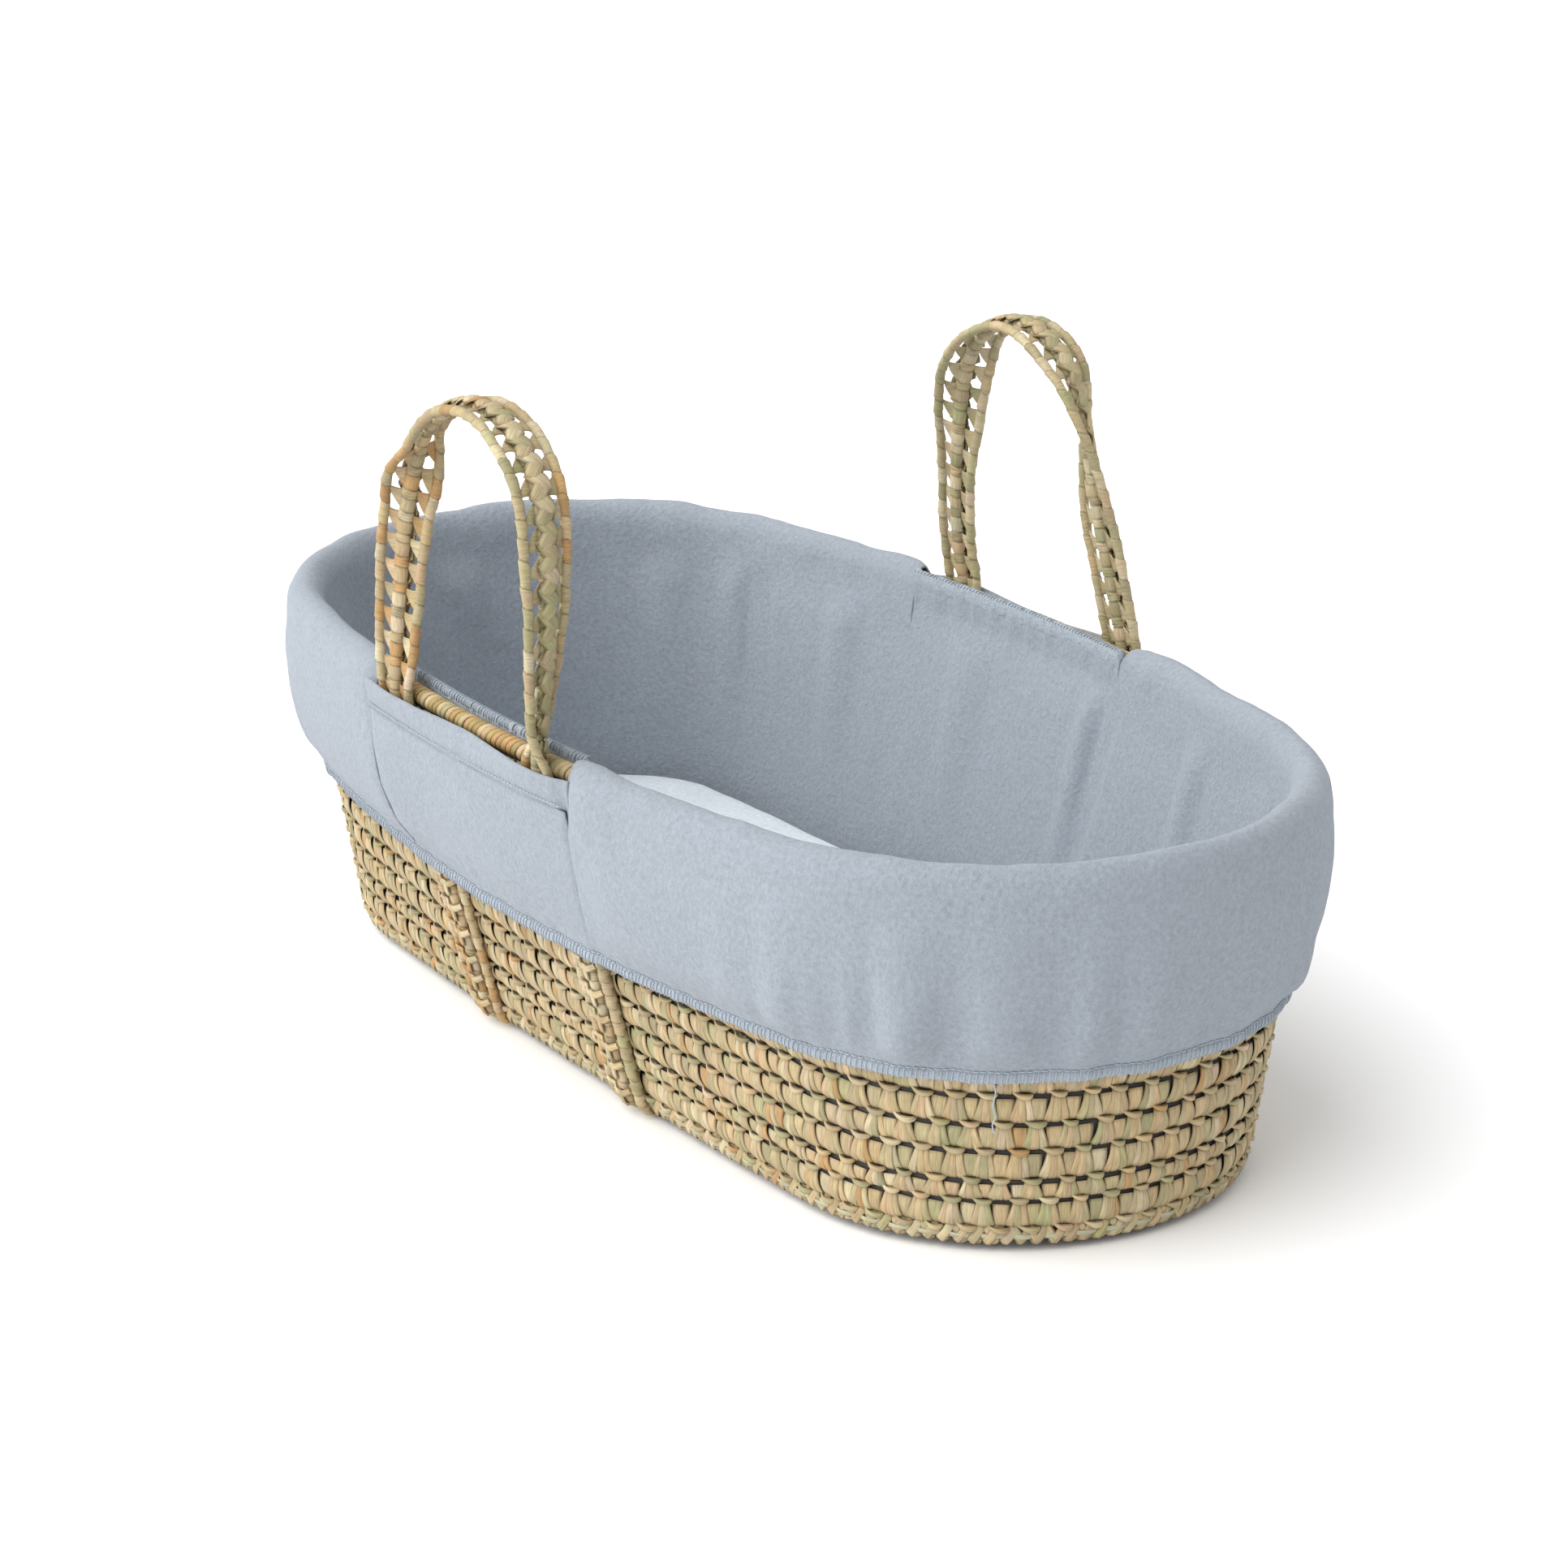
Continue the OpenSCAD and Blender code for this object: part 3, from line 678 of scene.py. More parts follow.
def wrapped_rod(stock, band, x0, radius, pitch, mixes, seed):
    """A rod wound in leaf: each turn starts proud of the one before, on a slant."""
    rng = np.random.default_rng(seed)
    s, turn = band.stations(), turns(14)
    warp = s + 2.5 * noise(s / 21, seed) + 5.0 * turn / TURN
    lap = np.floor(warp / pitch)
    part = warp / pitch - lap
    ridge = 0.24 * (1 - part) ** 1.2 * smooth(0, 0.10, part)
    r = radius * (0.90 + ridge + 0.05 * noise(s / 5 + turn, seed + 1))
    x0 = x0 + 0.7 * noise(s / 17, seed + 2)
    verts = band.place(s + 0 * turn, x0 + r * np.cos(turn), r * np.sin(turn) * 0.92)
    colours = leg_tints(rng, np.arange(int(band.length / pitch) + 8) * pitch, band, mixes)
    # Each turn's tint darkens to half at its start, where it meets the turn before: painted shade in the
    # crevice between turns.
    tint = colours[lap.astype(int) % len(colours)] * (0.50 + 0.50 * smooth(0, 0.09, part))[..., None]
    tube(stock, verts, False, tint, np.stack(np.broadcast_arrays(s, r * turn, lap * 17), -1))


def creased_braid(stock, band, mixes, seed):
    """The middle of a band: on one side a broad smooth wrap and a narrow creased tie at each plait,
    on the other folded leaves that overlap like scales."""
    rng = np.random.default_rng(seed)
    s, turn = band.stations(), turns(18)
    warp = s + 1.5 * noise(s / 19, seed) + 2.0 * turn / TURN
    plait = np.floor(warp / TOOTH)
    part = warp / TOOTH - plait
    tied = part > WRAP_SHARE
    broad = 0.14 * np.sin(math.pi * np.clip(part / WRAP_SHARE, 0, 1)) ** 0.5
    creases = 3 * np.clip((part - WRAP_SHARE) / (1 - WRAP_SHARE), 0, 1)
    narrow = 0.16 * np.abs(np.sin(math.pi * creases)) ** 0.7
    pinch = -0.14 * sum(hump(part, place, 0.04) for place in (WRAP_SHARE, 0, 1))
    r = BRAID_R * (0.88 + broad + narrow + pinch)
    verts = band.place(s + 0 * turn, r * np.cos(turn), r * np.sin(turn) * 0.74)
    laps = np.arange(2 * int(band.length / TOOTH) + 12)
    colours = leg_tints(rng, laps * TOOTH / 2, band, mixes)
    tie = 2 * plait.astype(int) + tied
    # The tint darkens toward 0.55 where the wrap is pinched between plaits and in the tie's creases: painted
    # shade in these hollows.
    tint = colours[tie % len(colours)] * (0.55 + 4.5 * np.minimum(broad + narrow, 0.1))[..., None]
    grain = np.stack([np.where(tied, s, r * turn), np.where(tied, r * turn, s), tie * 13.0], -1)
    tube(stock, verts, False, tint, grain)
    # Folded leaves, leaning left and right in turn.
    count = int(band.length / 6.4)
    t = np.linspace(-1, 1, 8)
    lean = np.where(np.arange(count) % 2, 1.0, -1.0)[:, None]
    s = np.linspace(5, band.length - 5, count)[:, None] + 5.6 * t + rng.normal(0, 0.35, (count, 1))
    x = lean * 5.2 * t * (1 - 0.12 * t * t) + rng.normal(0, 0.25, (count, 1))
    y = 1.9 + 2.2 * (1 - t * t) ** 0.8 + 1.0 * t
    path = band.place(s.clip(0.5, band.length - 0.5), x, y)
    normal = band.facing(s, 0.25 * lean * t, 1)
    leaves(stock, path, normal, 10.6 - 3.4 * t * t, 1.0, leg_tints(rng, s[:, 0], band, mixes), rng)


def tooth_webs(stock, band, mixes, seed):
    """Leaf webs from rod to rod: level along the top, with a tip that runs down the rod on the right."""
    rng = np.random.default_rng(seed)
    n, m = 7, 6
    b, a = np.meshgrid(np.linspace(0, 1, n), np.linspace(0, 1, m), indexing="ij")
    start = BRAID_R - 0.9
    stop = ROD_X - ROD_R + 0.9
    for low, high in ((-stop, -start), (start, stop)):
        tops = np.arange(TOOTH * 0.9, band.length - 2, TOOTH)
        for s_top, tint in zip(tops, leg_tints(rng, tops, band, mixes)):
            s_top = s_top + rng.normal(0, 0.5)
            drop = 13.2 + rng.normal(0, 0.7)
            edge = low + (high - low) * 0.97 * b ** 1.7
            x = edge + (high - edge) * a
            s = s_top - drop * b - 0.9 * np.sin(math.pi * a) * (1 - b)
            y = 0.9 * np.sin(math.pi * (0.15 + 0.7 * a)) * (1 - b) - 0.2 + rng.normal(0, 0.2)
            outer, inner = (band.place(s, x, y + lift) for lift in (LEAF_T / 2, -LEAF_T / 2))
            grain = np.stack([s, x, 0 * s + rng.uniform(0, 500)], -1)
            ring, grain = (np.concatenate([a, b[:, ::-1]], 1)[:, ::-1]
                           for a, b in ((outer, inner), (grain, grain)))
            tube(stock, ring, False, tint, grain)


def strap_band(side):
    """A strap's line: down the back wall, under the base and up the front wall."""
    low, high = box(f"strap_{'left' if side < 0 else 'right'}")
    middle, half = (low[0] + high[0]) / 2, (high[0] - low[0]) / 2
    stand = 3.7                              # a strap's middle outside the woven wall
    near = abs(middle) - half

    def wall_y(z):
        shape = weave(z)
        return stand - float(on_oval(shape, u_at(shape, near))[0][1])

    under = 2.15
    half_line = [(wall_y(z), z) for z in (JOIN_Z, 160, 110, 60, 26)]
    half_line += [(wall_y(16.0) - 0.4, 15.0), (BASE_OVAL[1] + 2.2, 7.0), (BASE_OVAL[1] - 3.0, 3.2),
                  (BASE_OVAL[1] - 12, under), (90, under), (40, under)]
    line = half_line + [(-y, z) for y, z in reversed(half_line)]
    points = through([(middle, y, z) for y, z in line], 900)
    points[:, 2] = np.maximum(points[:, 2], under)
    return Band(points, 0 * points + [1, 0, 0], 0.56 + 0.44 * smooth(3, 9, points[:, 2]))


def handle_band(line, twists, lean, side):
    """A handle's line over the front (side -1) or the back, which leans inwards by lean degrees. The line
    is points (x, z), and the twists are (z, left leg, right leg) in degrees."""
    points = through([(x, 0, z) for x, z in line], 700)
    z = points[:, 2]
    rise = np.maximum(z - HINGE_Z, 0) * math.tan(math.radians(lean))
    points[:, 1] = side * (HINGE_Y - rise - 1.2 * smooth(HINGE_Z - 4, JOIN_Z, z))
    run = unit(np.gradient(points, axis=0))
    heights, *legs = zip(*twists)
    angle = np.where(np.arange(len(z)) <= np.argmax(z), *(np.interp(z, heights, leg) for leg in legs))
    soften = np.hanning(43)[1:-1]
    angle = np.convolve(np.pad(angle, 20, mode="edge"), soften / soften.sum(), "valid")
    angle = np.radians(angle)[:, None]
    inward = np.stack([run[:, 2], 0 * z, -run[:, 0]], -1)
    return Band(points, np.cos(angle) * inward + np.sin(angle) * [0, 1, 0])


HINGE = next(joint["pos_m"] for joint in frame["record"]["behaviour"]["joints"]
             if joint["name"] == "back_handle_fold")
HINGE_Y, HINGE_Z = HINGE[1] / MM, HINGE[2] / MM

STRAP_PALE = [(PALE, 3), (STRAW, 3), (ORANGE, 1.5)]
STRAP_OLIVE = [(GREEN, 4), (BEIGE, 3)]
HANDLE_TAN = [(STRAW, 4), (ORANGE, 1.6), (PALE, 2), (BEIGE, 2)]
HANDLE_OLIVE = [(GREEN, 5), (BEIGE, 3), (PALE, 1)]
HANDLE_PALE = [(GREEN, 3), (BEIGE, 4), (PALE, 3), (STRAW, 1)]


def strap(side, radii, mixes):
    """A strap and its ties. The mixes are those of the left rod, the middle and the right rod."""
    name = "left" if side < 0 else "right"
    band = strap_band(side)
    left, middle, right = ((mix, mix) for mix in mixes)
    stock = Stock()
    for place, radius, mix in ((-ROD_X, radii[0], left), (ROD_X, radii[1], right)):
        wrapped_rod(stock, band, place, radius, 9.5, mix, int(430 + 10 * side + place))
    creased_braid(stock, band, middle, 430 + side)
    tooth_webs(stock, band, middle, 440 + side)
    stock.woven(f"strap_{name}", "palm_straw" if side < 0 else "palm_olive")
    ties(band, name, mixes[1], 450 + side)


def ties(band, name, mix, seed):
    """Leaf ties over a strap at the wall's seams: a stem over the middle that forks to both rods."""
    rng = np.random.default_rng(seed)
    stock = Stock()
    up_front = slice(len(band.s) // 2, None)
    z, s = band.middle[up_front, 2], band.s[up_front]
    order = np.argsort(z)
    place = np.interp([seam for seam in SEAMS[1:COURSES] if seam < JOIN_Z - 6], z[order], s[order])
    place = np.concatenate([place, band.length - place])[:, None]

    def tie(s, x, y, width):
        normal = band.facing(place + 0 * x, 0, -1)
        leaves(stock, band.place(s, x, y), normal, width, 0.8, tints(rng, len(place), mix), rng)

    t = np.linspace(0, 1, 8)
    for lean in (-1, 1):
        y = -(4.1 - 2.2 * smooth(0.3, 0.6, t) + 1.4 * smooth(0.65, 0.9, t))
        s = place + 5.5 * t ** 1.5 + rng.normal(0, 0.4, place.shape)
        tie(s, lean * (0.6 + 12.5 * t), y, 5.2 - 1.4 * t)
    t = np.linspace(-1, 1, 6)
    tie(place - 2.5 + 5.5 * t, 0.4 * t, -4.3 + 0.5 * t * t, 5.2)
    stock.woven(f"strap_ties_{name}", "palm_olive")


def handle(name, side, line, twists, lean, mixes, seed):
    """A handle's four pieces, which bend over the rim where the strap comes out of the liner. The mixes
    are those of the two rods, the braid and the webs."""
    band = handle_band(line, twists, lean, side)
    stocks = {part: Stock() for part in ("rod_a", "rod_b", "braid", "webs")}
    rod_a, rod_b, braid, webs = stocks.values()
    wrapped_rod(rod_a, band, -ROD_X, HANDLE_ROD_R, 12, mixes[0], seed)
    wrapped_rod(rod_b, band, ROD_X, HANDLE_ROD_R, 13, mixes[1], seed + 1)
    creased_braid(braid, band, mixes[2], seed + 2)
    tooth_webs(webs, band, mixes[3], seed + 3)
    for part, stock in stocks.items():
        slot = "palm_straw" if stock in (rod_a, webs) else "palm_olive"
        obj = stock.woven(f"{name}_handle_{part}", slot, None)
        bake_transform(obj)


strap(-1, (3.2, 3.0), (STRAP_PALE, STRAP_PALE, STRAP_PALE))
strap(1, (3.2, 3.6), (STRAP_PALE, [(PALE, 4), (STRAW, 3), (BEIGE, 1)], STRAP_OLIVE))

FRONT_LINE = [(-93, JOIN_Z), (-93, 250), (-91, 285), (-88, 321), (-79, 355), (-63, 384), (-38, 401),
              (-6, 410), (27, 406), (52, 393), (68, 376), (77, 352), (81, 320), (81, 285), (79, 250),
              (77, JOIN_Z)]
BACK_LINE = [(-93, JOIN_Z), (-97, 250), (-94, 286), (-86, 326), (-75, 360), (-60, 385), (-37, 402),
             (-8, 410), (19, 405), (38, 391), (49, 370), (54, 340), (60, 300), (69, 258), (77, JOIN_Z)]
FRONT_TWISTS = [(JOIN_Z, 0, 0), (222, 0, 0), (241, 14, 46), (290, 25, 66), (338, 38, 80), (360, 78, 86),
                (376, 114, 88), (392, 106, 88), (405, 92, 90)]
BACK_TWISTS = [(JOIN_Z, 0, 0), (300, 4, 2), (325, 18, 14), (350, 40, 32), (375, 66, 62), (400, 90, 90)]
TAN_TO_OLIVE = (HANDLE_TAN, HANDLE_OLIVE)
handle("front", -1, FRONT_LINE, FRONT_TWISTS, 4.2,
       (TAN_TO_OLIVE, (HANDLE_TAN, HANDLE_TAN), TAN_TO_OLIVE, TAN_TO_OLIVE), 500)
handle("back", 1, BACK_LINE, BACK_TWISTS, 6.0, ((HANDLE_PALE, HANDLE_PALE),) * 4, 520)


# ---- the fleece liner ----

LINER_T = 2.5
SLOT = (-120.0, 104.0)                      # the handle slots' left and right edges
ROLL_Z = WALL_Z1 - 1.7                      # height at which the padded roll is widest
ROLL_MIDDLE, ROLL_HALF, ROLL_RISE = 2.2, 11.2, 17.0
HEM_Z, HEM_TOP = HEM_LOW[2], HEM_HIGH[2]
HEM_OVAL = np.array([HEM_HIGH[0], HEM_HIGH[1], weave(HEM_Z)[2] + 6])
FLAP_TOP = box("front_flap")[1][2]
BINDING_TOP = box("front_flap_binding")[1][2]
ELASTIC_TOP = box("front_slot_elastic")[1][2]
FLOOR_Z = box("liner_floor")[1][2]
FRONT_SLOT = [u_at(COIL_OVAL, x) for x in SLOT]
BACK_SLOT = [u_at(COIL_OVAL, x, True) for x in SLOT]
CREST_GIRTH = girth(COIL_OVAL)

# Folds of the skirt and of the inside wall: place round the basket, half width, height of the fold.
SKIRT_FOLDS = [(0.118, 10, 1.2), (0.137, 9, 1.8), (0.154, 8, -1.4), (0.163, 6, -2.0), (0.174, 9, 3.6),
               (0.187, 8, -2.2), (0.199, 9, 1.6), (0.213, 9, -1.6), (0.222, 8, 1.8), (0.238, 10, 2.2),
               (0.258, 9, -1.6), (0.274, 8, 1.4), (0.300, 9, 1.6), (0.340, 11, -1.6), (0.425, 10, 1.8),
               (0.580, 12, 1.6), (0.700, 9, 2.4), (0.745, 9, -1.8), (0.800, 11, 2.0), (0.850, 8, 1.6)]
INNER_FOLDS = [(0.110, 8, -2.2), (0.165, 9, 2.0), (0.230, 8, -2.4), (0.290, 9, 2.2), (0.340, 9, -1.8),
               (0.383, 6, -2.6), (0.398, 6, 2.6), (0.450, 6, -3.0), (0.458, 6, 2.2), (0.526, 9, 2.0),
               (0.560, 7, -1.6), (0.592, 8, 2.2), (0.636, 7, -2.4), (0.648, 7, 1.8), (0.676, 9, 2.4),
               (0.705, 8, -2.4), (0.752, 9, 2.2), (0.800, 9, -1.8), (0.850, 8, 2.0)]


def away_from(u, *places):
    """Millimetres round the crest from u to the nearest of the places."""
    return np.min([np.abs((u - place + 0.5) % 1 - 0.5) for place in places], 0) * CREST_GIRTH


def folds(listed, u, width_scale=1.0):
    """Height of the listed folds at u."""
    return sum(height * hump(away_from(u, place), 0, 2 * half * width_scale)
               for place, half, height in listed)


def inner_line():
    """Stations of the liner's inside wall, from the mattress up: oval and height."""
    inside = WALL_T + 0.8 + LINER_T / 2
    return [[*(weave(z) - inside), z] for z in (FLOOR_Z + 1.2, 40.0, 80.0, 120.0, 160.0, 190.0)]


def roll_line():
    """Stations from the inside wall over the padded roll and down the skirt to the hem."""
    arch = [math.radians(180 - 30 * k) for k in range(7)]
    line = [[*(COIL_OVAL + ROLL_MIDDLE + ROLL_HALF * math.cos(t)), ROLL_Z + ROLL_RISE * math.sin(t)]
            for t in arch]
    top = ROLL_Z - 9
    drop = top - HEM_TOP - 0.5
    for down, out, taken in ((0, 13.6, 0), (0.22, 14.2, 0), (0.5, 13.4, 0.10), (0.77, 12.4, 0.40),
                             (0.93, 8.8, 0.78), (1, 0, 1), (1.02, 0, 1)):
        oval = (COIL_OVAL + out) * (1 - taken) + (HEM_OVAL - LINER_T / 2 - 0.4) * taken
        line.append([*oval, top - drop * down])
    return line


def flap_line():
    """Stations down a flap, from its binding to the hem."""
    low = HEM_TOP + 0.5
    return [[*(COIL_OVAL + out - LINER_T / 2), low + (FLAP_TOP - low) * up]
            for up, out in ((1, 14.8), (0.79, 11.3), (0.52, 6.3), (0.24, -0.8), (0.02, -9.0), (-0.02, -9.2))]


def skirt_over_flap(z):
    """How much further out the skirt lies than a flap at height z."""
    skirt, flap = (np.array(line)[::-1] for line in (roll_line()[6:], flap_line()))
    return np.interp(z, skirt[:, 3], skirt[:, 1]) - np.interp(z, flap[:, 3], flap[:, 1])


def even(line, step):
    """The smooth line through the stations, resampled about every step millimetres."""
    dense = through(line, 40 * len(line))
    s = distance(dense[:, [0, 3]])
    even_s = np.linspace(0, s[-1], int(s[-1] / step) + 1)
    return sample(dense, s, even_s), even_s


def ripple(u, length, seed, shift=0.0):
    """Noise round the basket with a wave about every length millimetres."""
    waves = round(CREST_GIRTH / length)
    return noise(u * waves + shift, seed, waves)


def ripple2(u, y, length, seed):
    waves = round(CREST_GIRTH / length)
    return noise2(u * waves, y / length, seed, waves)


def sewn(name, line, normal, lift, pitch):
    """A row of running stitches on a line of points, lift millimetres off it."""
    rng = np.random.default_rng(651)
    s = distance(line)
    count = int(s[-1] / pitch)
    reach = 0.36                            # half a stitch's length, as a part of the pitch
    t = np.linspace(-reach, reach, 4)
    at = (np.arange(count)[:, None] + 0.5 + t) / count * s[-1]
    path, up = sample(line, s, at), sample(normal, s, at)
    path = path + up * (lift + 0.35 * (1 - (t / reach) ** 2))[:, None]
    path[..., 2] += rng.normal(0, 0.12, (count, 1))
    stock = Stock()
    leaves(stock, path, up, 0.8, 0.2, WHITE, rng)
    stock.make(name, THREAD, "sewing", "basket")


CLOTH_STEP = 3.2
HEM_ROWS = []                               # the panels' lower edges, for the hem to be sewn to
INNER_V = 190.0                             # length of the inside wall, up to the padded roll
TUCK = 0.0009                               # how far a flap's side edges run under the skirt


def facing_out(verts):
    """Normals of a panel's lattice of points, towards the side that is seen."""
    return unit(np.cross(np.gradient(verts, axis=1), np.gradient(verts, axis=0)))


def cloth(name, line, u0, u1, push, nodes, hemmed=True, lining=True, **declared):
    rows, v = even(line, CLOTH_STEP)
    columns = int((u1 - u0) * CREST_GIRTH / CLOTH_STEP) + 1
    # The narrow first and last columns keep the panel's smooth shading flat up to its edges.
    u = np.sort(np.append(np.linspace(u0, u1, columns), [u0 + 1e-4, u1 - 1e-4]))[:, None] + 0 * v
    z = rows[:, 3] + 0 * u
    verts = raised(on_oval(np.broadcast_to(rows[:, :3], (*u.shape, 3)), u)[0], z)
    across = np.minimum(u - u0, u1 - u) * CREST_GIRTH
    verts = verts + facing_out(verts) * push(u % 1, z, v + 0 * u, across)[..., None]
    normal = facing_out(verts)
    edge = np.minimum(across, np.minimum(v, v[-1] - v))
    # The lining's sides are butted together, so they stay thick.
    edge = np.where((v < INNER_V + 24) & lining, np.minimum(v, 3.0), edge)
    half = LINER_T / 2 * (0.45 + 0.55 * np.sqrt(smooth(-0.1, 3.0, edge)))[..., None]
    stock = Stock()
    tube(stock, np.concatenate([verts + normal * half, (verts - normal * half)[:, ::-1]], 1))
    obj = stock.make(name, FLEECE, "fleece", "basket", *nodes)
    if hemmed:
        HEM_ROWS.append((u0, verts[:, -1]))
        j = int(np.searchsorted(v, v[-1] - 5.5))
        sewn(f"{name}_stitches", verts[:, j], normal[:, j], LINER_T / 2 + 0.1, 4.0)
    width, height = distance(verts[:, len(v) // 2])[-1], distance(verts[columns // 2])[-1]


def push_inside(u, z):
    """Folds of the inside wall."""
    lift = smooth(40, 190, z) * (folds(INNER_FOLDS, u, 1.5) * 1.9 + 1.6 * ripple(u, 38, 604, -0.02 * z))
    lift = lift + 1.2 * ripple2(u, z + 300, 80, 605) + 0.25 * ripple2(u, z, 9, 608)
    lift = -0.7 + np.maximum(lift + 1.4, 0.08 * lift).clip(0, 7.7)
    return lift * (1 - smooth(180, 208, z))


def at_hem(u):
    """How far the gathered hem stands out."""
    return np.clip(0.45 * folds(SKIRT_FOLDS, u, 0.8) + 0.7 * ripple(u, 9, 661) + 0.4 * ripple(u, 4.5, 662),
                   -0.9, 2.2)


def push_end(seed):
    """Folds of an end of the liner, over the inside wall, the roll and the skirt."""
    def push(u, z, v, across):
        outside = smooth(INNER_V + 30, INNER_V + 60, v)
        inside = 1 - smooth(INNER_V - 6, INNER_V + 16, v)
        down = np.clip((ROLL_Z - z) / (ROLL_Z - HEM_TOP), 0, 1)
        skirt = outside * (0.3 * smooth(0, 0.3, down) + 0.7 * smooth(0.3, 0.85, down))
        lift = skirt * (2.1 * folds(SKIRT_FOLDS, u) + 1.2 * ripple(u, 42, seed, 0.02 * z)
                        + 0.9 * smooth(0.4, 0.95, down) * ripple(u, 17, seed + 1))
        gathers = ripple(u, 7.5, seed + 2) + 0.6 * ripple(u, 4.2, seed + 3)
        lift += outside * smooth(0.72, 0.97, down) * gathers
        roll = hump(v, INNER_V + 26, 52) * smooth(0, 22, across)
        lift += roll * (1.2 * ripple(u, 55, seed + 6) + 0.8 * ripple2(u, v, 19, seed + 7))
        lift += 0.22 * ripple2(u, v, 9, seed + 8)
        top = smooth(INNER_V + 28, INNER_V + 44, v) * (1 - smooth(INNER_V + 62, INNER_V + 88, v))
        lift += top * (1.5 * hump(across, 28, 24) - 4.0 * (1 - smooth(0, 14, across)) ** 2)
        lift -= outside * 0.5 * (1 - smooth(0, 6, across)) * smooth(-0.05, 0.2, down)
        lift = np.maximum(lift, -3.2)
        lift -= outside * skirt_over_flap(z) * (1 - smooth(0, 42, away_from(u, FRONT_SLOT[1], BACK_SLOT[1])))
        sewn_down = outside * smooth(0.84, 0.97, down)
        lift = lift * (1 - sewn_down) + at_hem(u) * sewn_down
        return lift * (1 - inside) + push_inside(u, z) * inside

    return push


def push_side(u, z, v, across):
    """Folds of the inside wall below a handle slot, puckered by the elastic at its top."""
    pucker = 0.8 * ripple(u, 6.5, 611) + 0.5 * ripple(u, 3.9, 612)
    return np.maximum(push_inside(u, z) + pucker * smooth(196, 216, z) * smooth(0, 8, across), -0.7)


def push_flap(u, z, v, across):
    """Folds of a flap below a slot, with gathers at the hem."""
    down = np.clip((FLAP_TOP - z) / (FLAP_TOP - HEM_TOP), 0, 1)
    lift = 1.5 * smooth(0, 0.4, down) * ripple(u, 46, 621, 0.012 * z)
    lift += smooth(0.6, 0.95, down) * (0.9 * ripple(u, 9, 622) + 0.5 * ripple(u, 4.2, 623))
    lift += 0.25 * ripple2(u, z, 11, 624)
    lift = np.maximum(lift, -1.2) - 1.3 * (1 - smooth(0, 5, across)) * smooth(0, 0.15, down)
    lift += skirt_over_flap(z) * (1 - smooth(0, 66, away_from(u, FRONT_SLOT[0], BACK_SLOT[0])))
    sewn_down = smooth(0.84, 0.97, down)
    return lift * (1 - sewn_down) + at_hem(u) * sewn_down


def slot_sides(name, u0, u1):
    """What closes a slot: the inside wall with its elastic, and the flap with its binding."""
    top = ((9.4, ROLL_Z - 8), (9.0, ROLL_Z + 2), (8.4, ELASTIC_TOP - 1))
    inside = inner_line() + [[*(COIL_OVAL - back), z] for back, z in top]
    cloth(f"liner_side_{name}", inside, u0, u1, push_side, (), hemmed=False, held="hung",
          rests_on=["rim_coil"])
    cloth(f"fleece_{name}_flap", flap_line(), u0 - TUCK, u1 + TUCK, push_flap, (f"{name}_flap",),
          lining=False, held="hung", rests_on=[f"{name}_flap_binding"])
    binding(name, u0, u1)
    slot_elastic(name, u0, u1)


def ribbon_round(u, out, z, half_w, half_h, sides):
    """A soft band of oval section round the basket, out from the coil's oval. All but sides vary along u."""
    c, h = (np.sign(part) * np.abs(part) ** 0.7 for part in (np.cos(turns(sides)), np.sin(turns(sides))))
    u, out, z, half_w, half_h = (row[:, None] for row in np.broadcast_arrays(u, out, z, half_w, half_h))
    shape = COIL_OVAL + (out + half_w * c)[..., None]
    return raised(on_oval(shape, u + 0 * c)[0], z + half_h * h)


def binding(name, u0, u1):
    """Folded binding along a flap's top edge, with a row of stitches near its lower edge."""
    u = np.linspace(u0 - 0.0008, u1 + 0.0022, 150)
    s = u * CREST_GIRTH
    middle = (FLAP_TOP + BINDING_TOP) / 2 + 1.2
    half_h = (BINDING_TOP - FLAP_TOP) / 2 + 2.0 + 0.35 * noise(s / 14, 631)
    under = 1 - smooth(-2, 9, (u1 - u) * CREST_GIRTH)
    out = 14.0 - 3.4 * under + 0.5 * noise(s / 23, 632)
    verts = ribbon_round(u, out, middle, 1.9 + 0.25 * noise(s / 9, 633), half_h, 16)
    lean = (verts[..., 2] - middle) / half_h[:, None]
    between = smooth(-72, -24, verts[..., 0]) * (1 - smooth(8, 60, verts[..., 0]))
    legs = hump(verts[..., 0], -93, 30) + hump(verts[..., 0], 77, 30)
    hug = 1.1 * lean + (1.8 * legs - 5.0 * between) * smooth(-1, 1, lean)
    verts[..., 1] += np.sign(verts[..., 1]) * hug
    stock = Stock()
    tube(stock, verts)
    obj = stock.make(f"fleece_{name}_flap_binding", FLEECE, "fleece", "basket", f"{name}_flap_binding")
    plan, facing = on_oval(np.broadcast_to(COIL_OVAL + 15.7, (120, 3)), np.linspace(u0, u1, 120))
    sewn(f"{name}_binding_stitches", raised(plan, FLAP_TOP + 3.4), raised(facing, 0), 0.0, 3.4)


